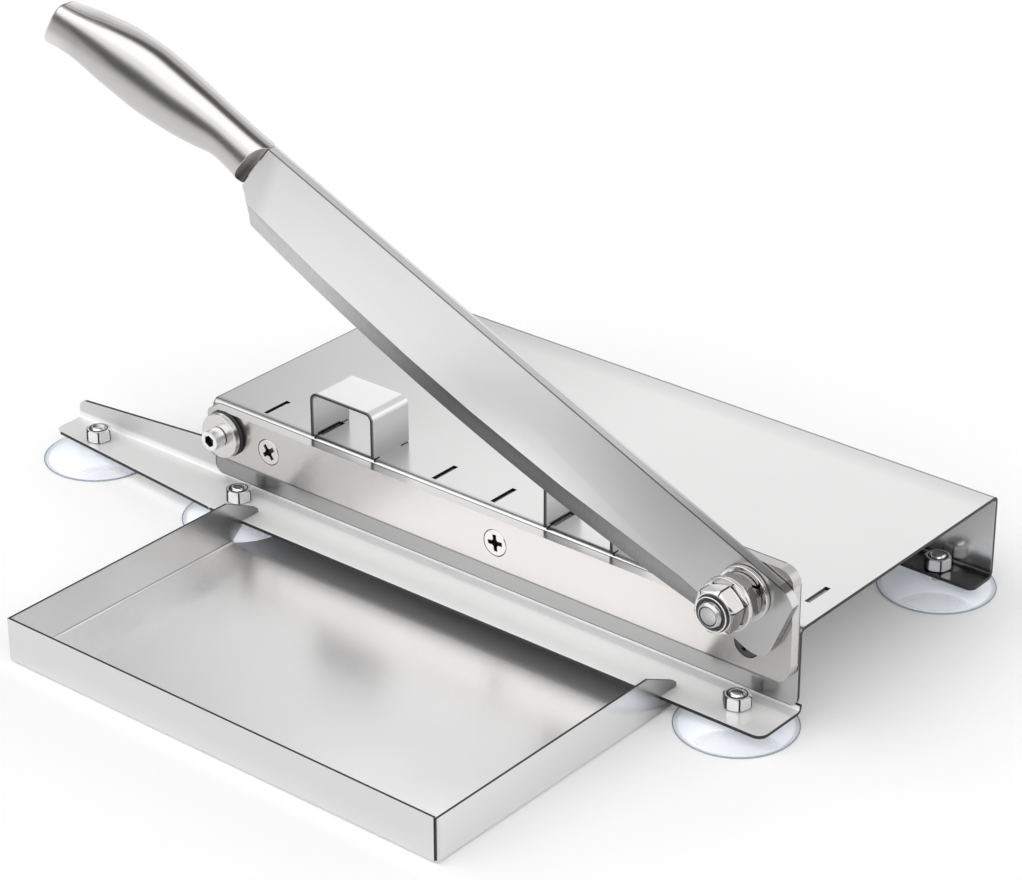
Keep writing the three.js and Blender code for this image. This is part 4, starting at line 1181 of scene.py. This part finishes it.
# Panels of light: azimuth from the back towards the right, half sizes and soft rims in degrees
panelLooks = [
    {"azimuth": 16, "elevation": 14, "halfWidth": 64, "halfHeight": 22, "soft": 12, "level": 1.3},
    {"azimuth": 0, "elevation": 46, "halfWidth": 60, "halfHeight": 12, "soft": 9, "level": 0.85},
    {"azimuth": -164, "elevation": 31, "halfWidth": 50, "halfHeight": 27, "soft": 14,
     "level": 1.45},
    {"azimuth": -95, "elevation": 32, "halfWidth": 22, "halfHeight": 22, "soft": 8, "level": 0.8},
    {"azimuth": 92, "elevation": 34, "halfWidth": 18, "halfHeight": 24, "soft": 8, "level": 0.7},
]
# The ceiling panel, in breadths and depths per height above the table
ceilingLook = {"middle": (-0.1, -1.1), "half": (2.0, 0.92), "soft": 0.3, "level": 1.9}


def makeFloor(look):
    # pale paper, in metres; camera, mirror and glass see a little glow in it
    low, high = look["floorLeft"], look["floorRight"]
    front, back = look["floorFront"], look["floorBack"]
    corners = [(low, front, 0), (high, front, 0), (high, back, 0), (low, back, 0)]
    mesh = bpy.data.meshes.new("floor")
    mesh.from_pydata(corners, [], [(0, 1, 2, 3)])
    floor = bpy.data.objects.new("floor", mesh)
    bpy.context.scene.collection.objects.link(floor)
    tree = Tree(bpy.data.materials.new("floorPaper"))
    level = look["floorLevel"]
    paper = tree.node("ShaderNodeBsdfDiffuse", {}, {"Color": colour(level)})
    glow = tree.node("ShaderNodeEmission", {}, {"Strength": 1.0})
    seen, *rays = raysOf(tree, "Camera", "Glossy", "Transmission")
    for ray in rays:
        seen = tree.maths("MAXIMUM", seen, ray)
    mixed = tree.node("ShaderNodeMixShader", {}, {0: seen * look["floorGlow"], 1: paper, 2: glow})
    tree.end("ShaderNodeOutputMaterial", mixed)
    mesh.materials.append(tree.owner)


def raysOf(tree, *kinds):
    # one where the ray is of a kind
    path = tree.node("ShaderNodeLightPath")
    return [path.beside(f"Is {kind} Ray") for kind in kinds]


def fadeOut(tree, value, half, soft):
    # one inside the half size, falling smoothly to nothing over the soft rim
    size = tree.maths("ABSOLUTE", value)
    start, end = half - soft / 2, half + soft / 2
    return tree.node(
        "ShaderNodeMapRange",
        {"interpolation_type": "SMOOTHSTEP"},
        {"Value": size, "From Min": start, "From Max": end, "To Min": 1.0, "To Max": 0.0},
    )


def angleOf(tree, across, ahead):
    # the direction in degrees, turned from ahead towards across
    return tree.maths("ARCTAN2", across, ahead) * (180 / math.pi)


def makeWorld(look):
    # soft panels in a dim room light the object, and the camera sees white behind it
    world = bpy.data.worlds.new("studio")
    bpy.context.scene.world = world
    tree = Tree(world)
    direction = tree.node("ShaderNodeTexCoord", output="Generated")
    split = tree.node("ShaderNodeSeparateXYZ", {}, {0: direction})
    right, back, up = (split.beside(axis) for axis in "XYZ")
    elevation = angleOf(tree, up, (right * right + back * back) ** 0.5)
    room = look["roomLevel"]
    for panel in panelLooks:
        turn = math.radians(panel["azimuth"])
        across = right * math.cos(turn) - back * math.sin(turn)
        ahead = right * math.sin(turn) + back * math.cos(turn)
        wide = fadeOut(tree, angleOf(tree, across, ahead), panel["halfWidth"], panel["soft"])
        high = fadeOut(tree, elevation - panel["elevation"], panel["halfHeight"], panel["soft"])
        room = tree.maths("MAXIMUM", room, wide * high * panel["level"])
    height = tree.maths("MAXIMUM", up, 0.001)
    middle, half, soft = (ceilingLook[key] for key in ("middle", "half", "soft"))
    wide = fadeOut(tree, right / height - middle[0], half[0], soft)
    deep = fadeOut(tree, back / height - middle[1], half[1], soft)
    room = tree.maths("MAXIMUM", room, wide * deep * ceilingLook["level"])
    white = {"Color": colour(1)}
    lit = tree.node("ShaderNodeBackground", {}, white | {"Strength": room})
    backdrop = tree.node("ShaderNodeBackground", {}, white | {"Strength": 1.0})
    camera, clear, gloss = raysOf(tree, "Camera", "Transmission", "Glossy")
    rim = look["backdropSoft"]
    horizon = fadeOut(tree, elevation, look["backdropTop"], rim)
    horizon = horizon * fadeOut(tree, angleOf(tree, right, back), look["backdropHalf"], rim)
    seen = tree.maths("MAXIMUM", tree.maths("MAXIMUM", camera, clear), gloss * horizon)
    mixed = tree.node("ShaderNodeMixShader", {}, {0: seen, 1: lit, 2: backdrop})
    tree.end("ShaderNodeOutputWorld", mixed)


# The camera, in metres; its lens is the focal length in pixels over the photograph's width
cameraLook = {
    "place": (0.764877, -0.860358, 0.650383), "azimuth": -39.615, "elevation": 27.2,
    "roll": -0.112, "sensor": 36, "focal": 3315.63, "width": 1022, "clip": (0.05, 50),
}


def makeCamera(look):
    # right, up and back axes from azimuth, elevation and roll
    angles = ("azimuth", "elevation", "roll")
    azimuth, elevation, roll = (math.radians(look[key]) for key in angles)
    flat = math.cos(elevation)
    ahead = Vector((math.sin(azimuth) * flat, math.cos(azimuth) * flat, -math.sin(elevation)))
    level = Vector((math.cos(azimuth), -math.sin(azimuth), 0))
    upright = level.cross(ahead)
    right = level * math.cos(roll) + upright * math.sin(roll)
    up = upright * math.cos(roll) - level * math.sin(roll)
    data = bpy.data.cameras.new("camera")
    data.sensor_width = look["sensor"]
    data.lens = look["sensor"] * look["focal"] / look["width"]
    data.clip_start, data.clip_end = look["clip"]
    made = bpy.data.objects.new("camera", data)
    axes = Matrix((right, up, -ahead)).transposed().to_4x4()
    made.matrix_world = Matrix.Translation(look["place"]) @ axes
    bpy.context.scene.collection.objects.link(made)
    bpy.context.scene.camera = made


makeFloor(stageLook)
makeWorld(stageLook)
makeCamera(cameraLook)
bpy.context.scene.view_settings.view_transform = "Standard"
print("stage made")
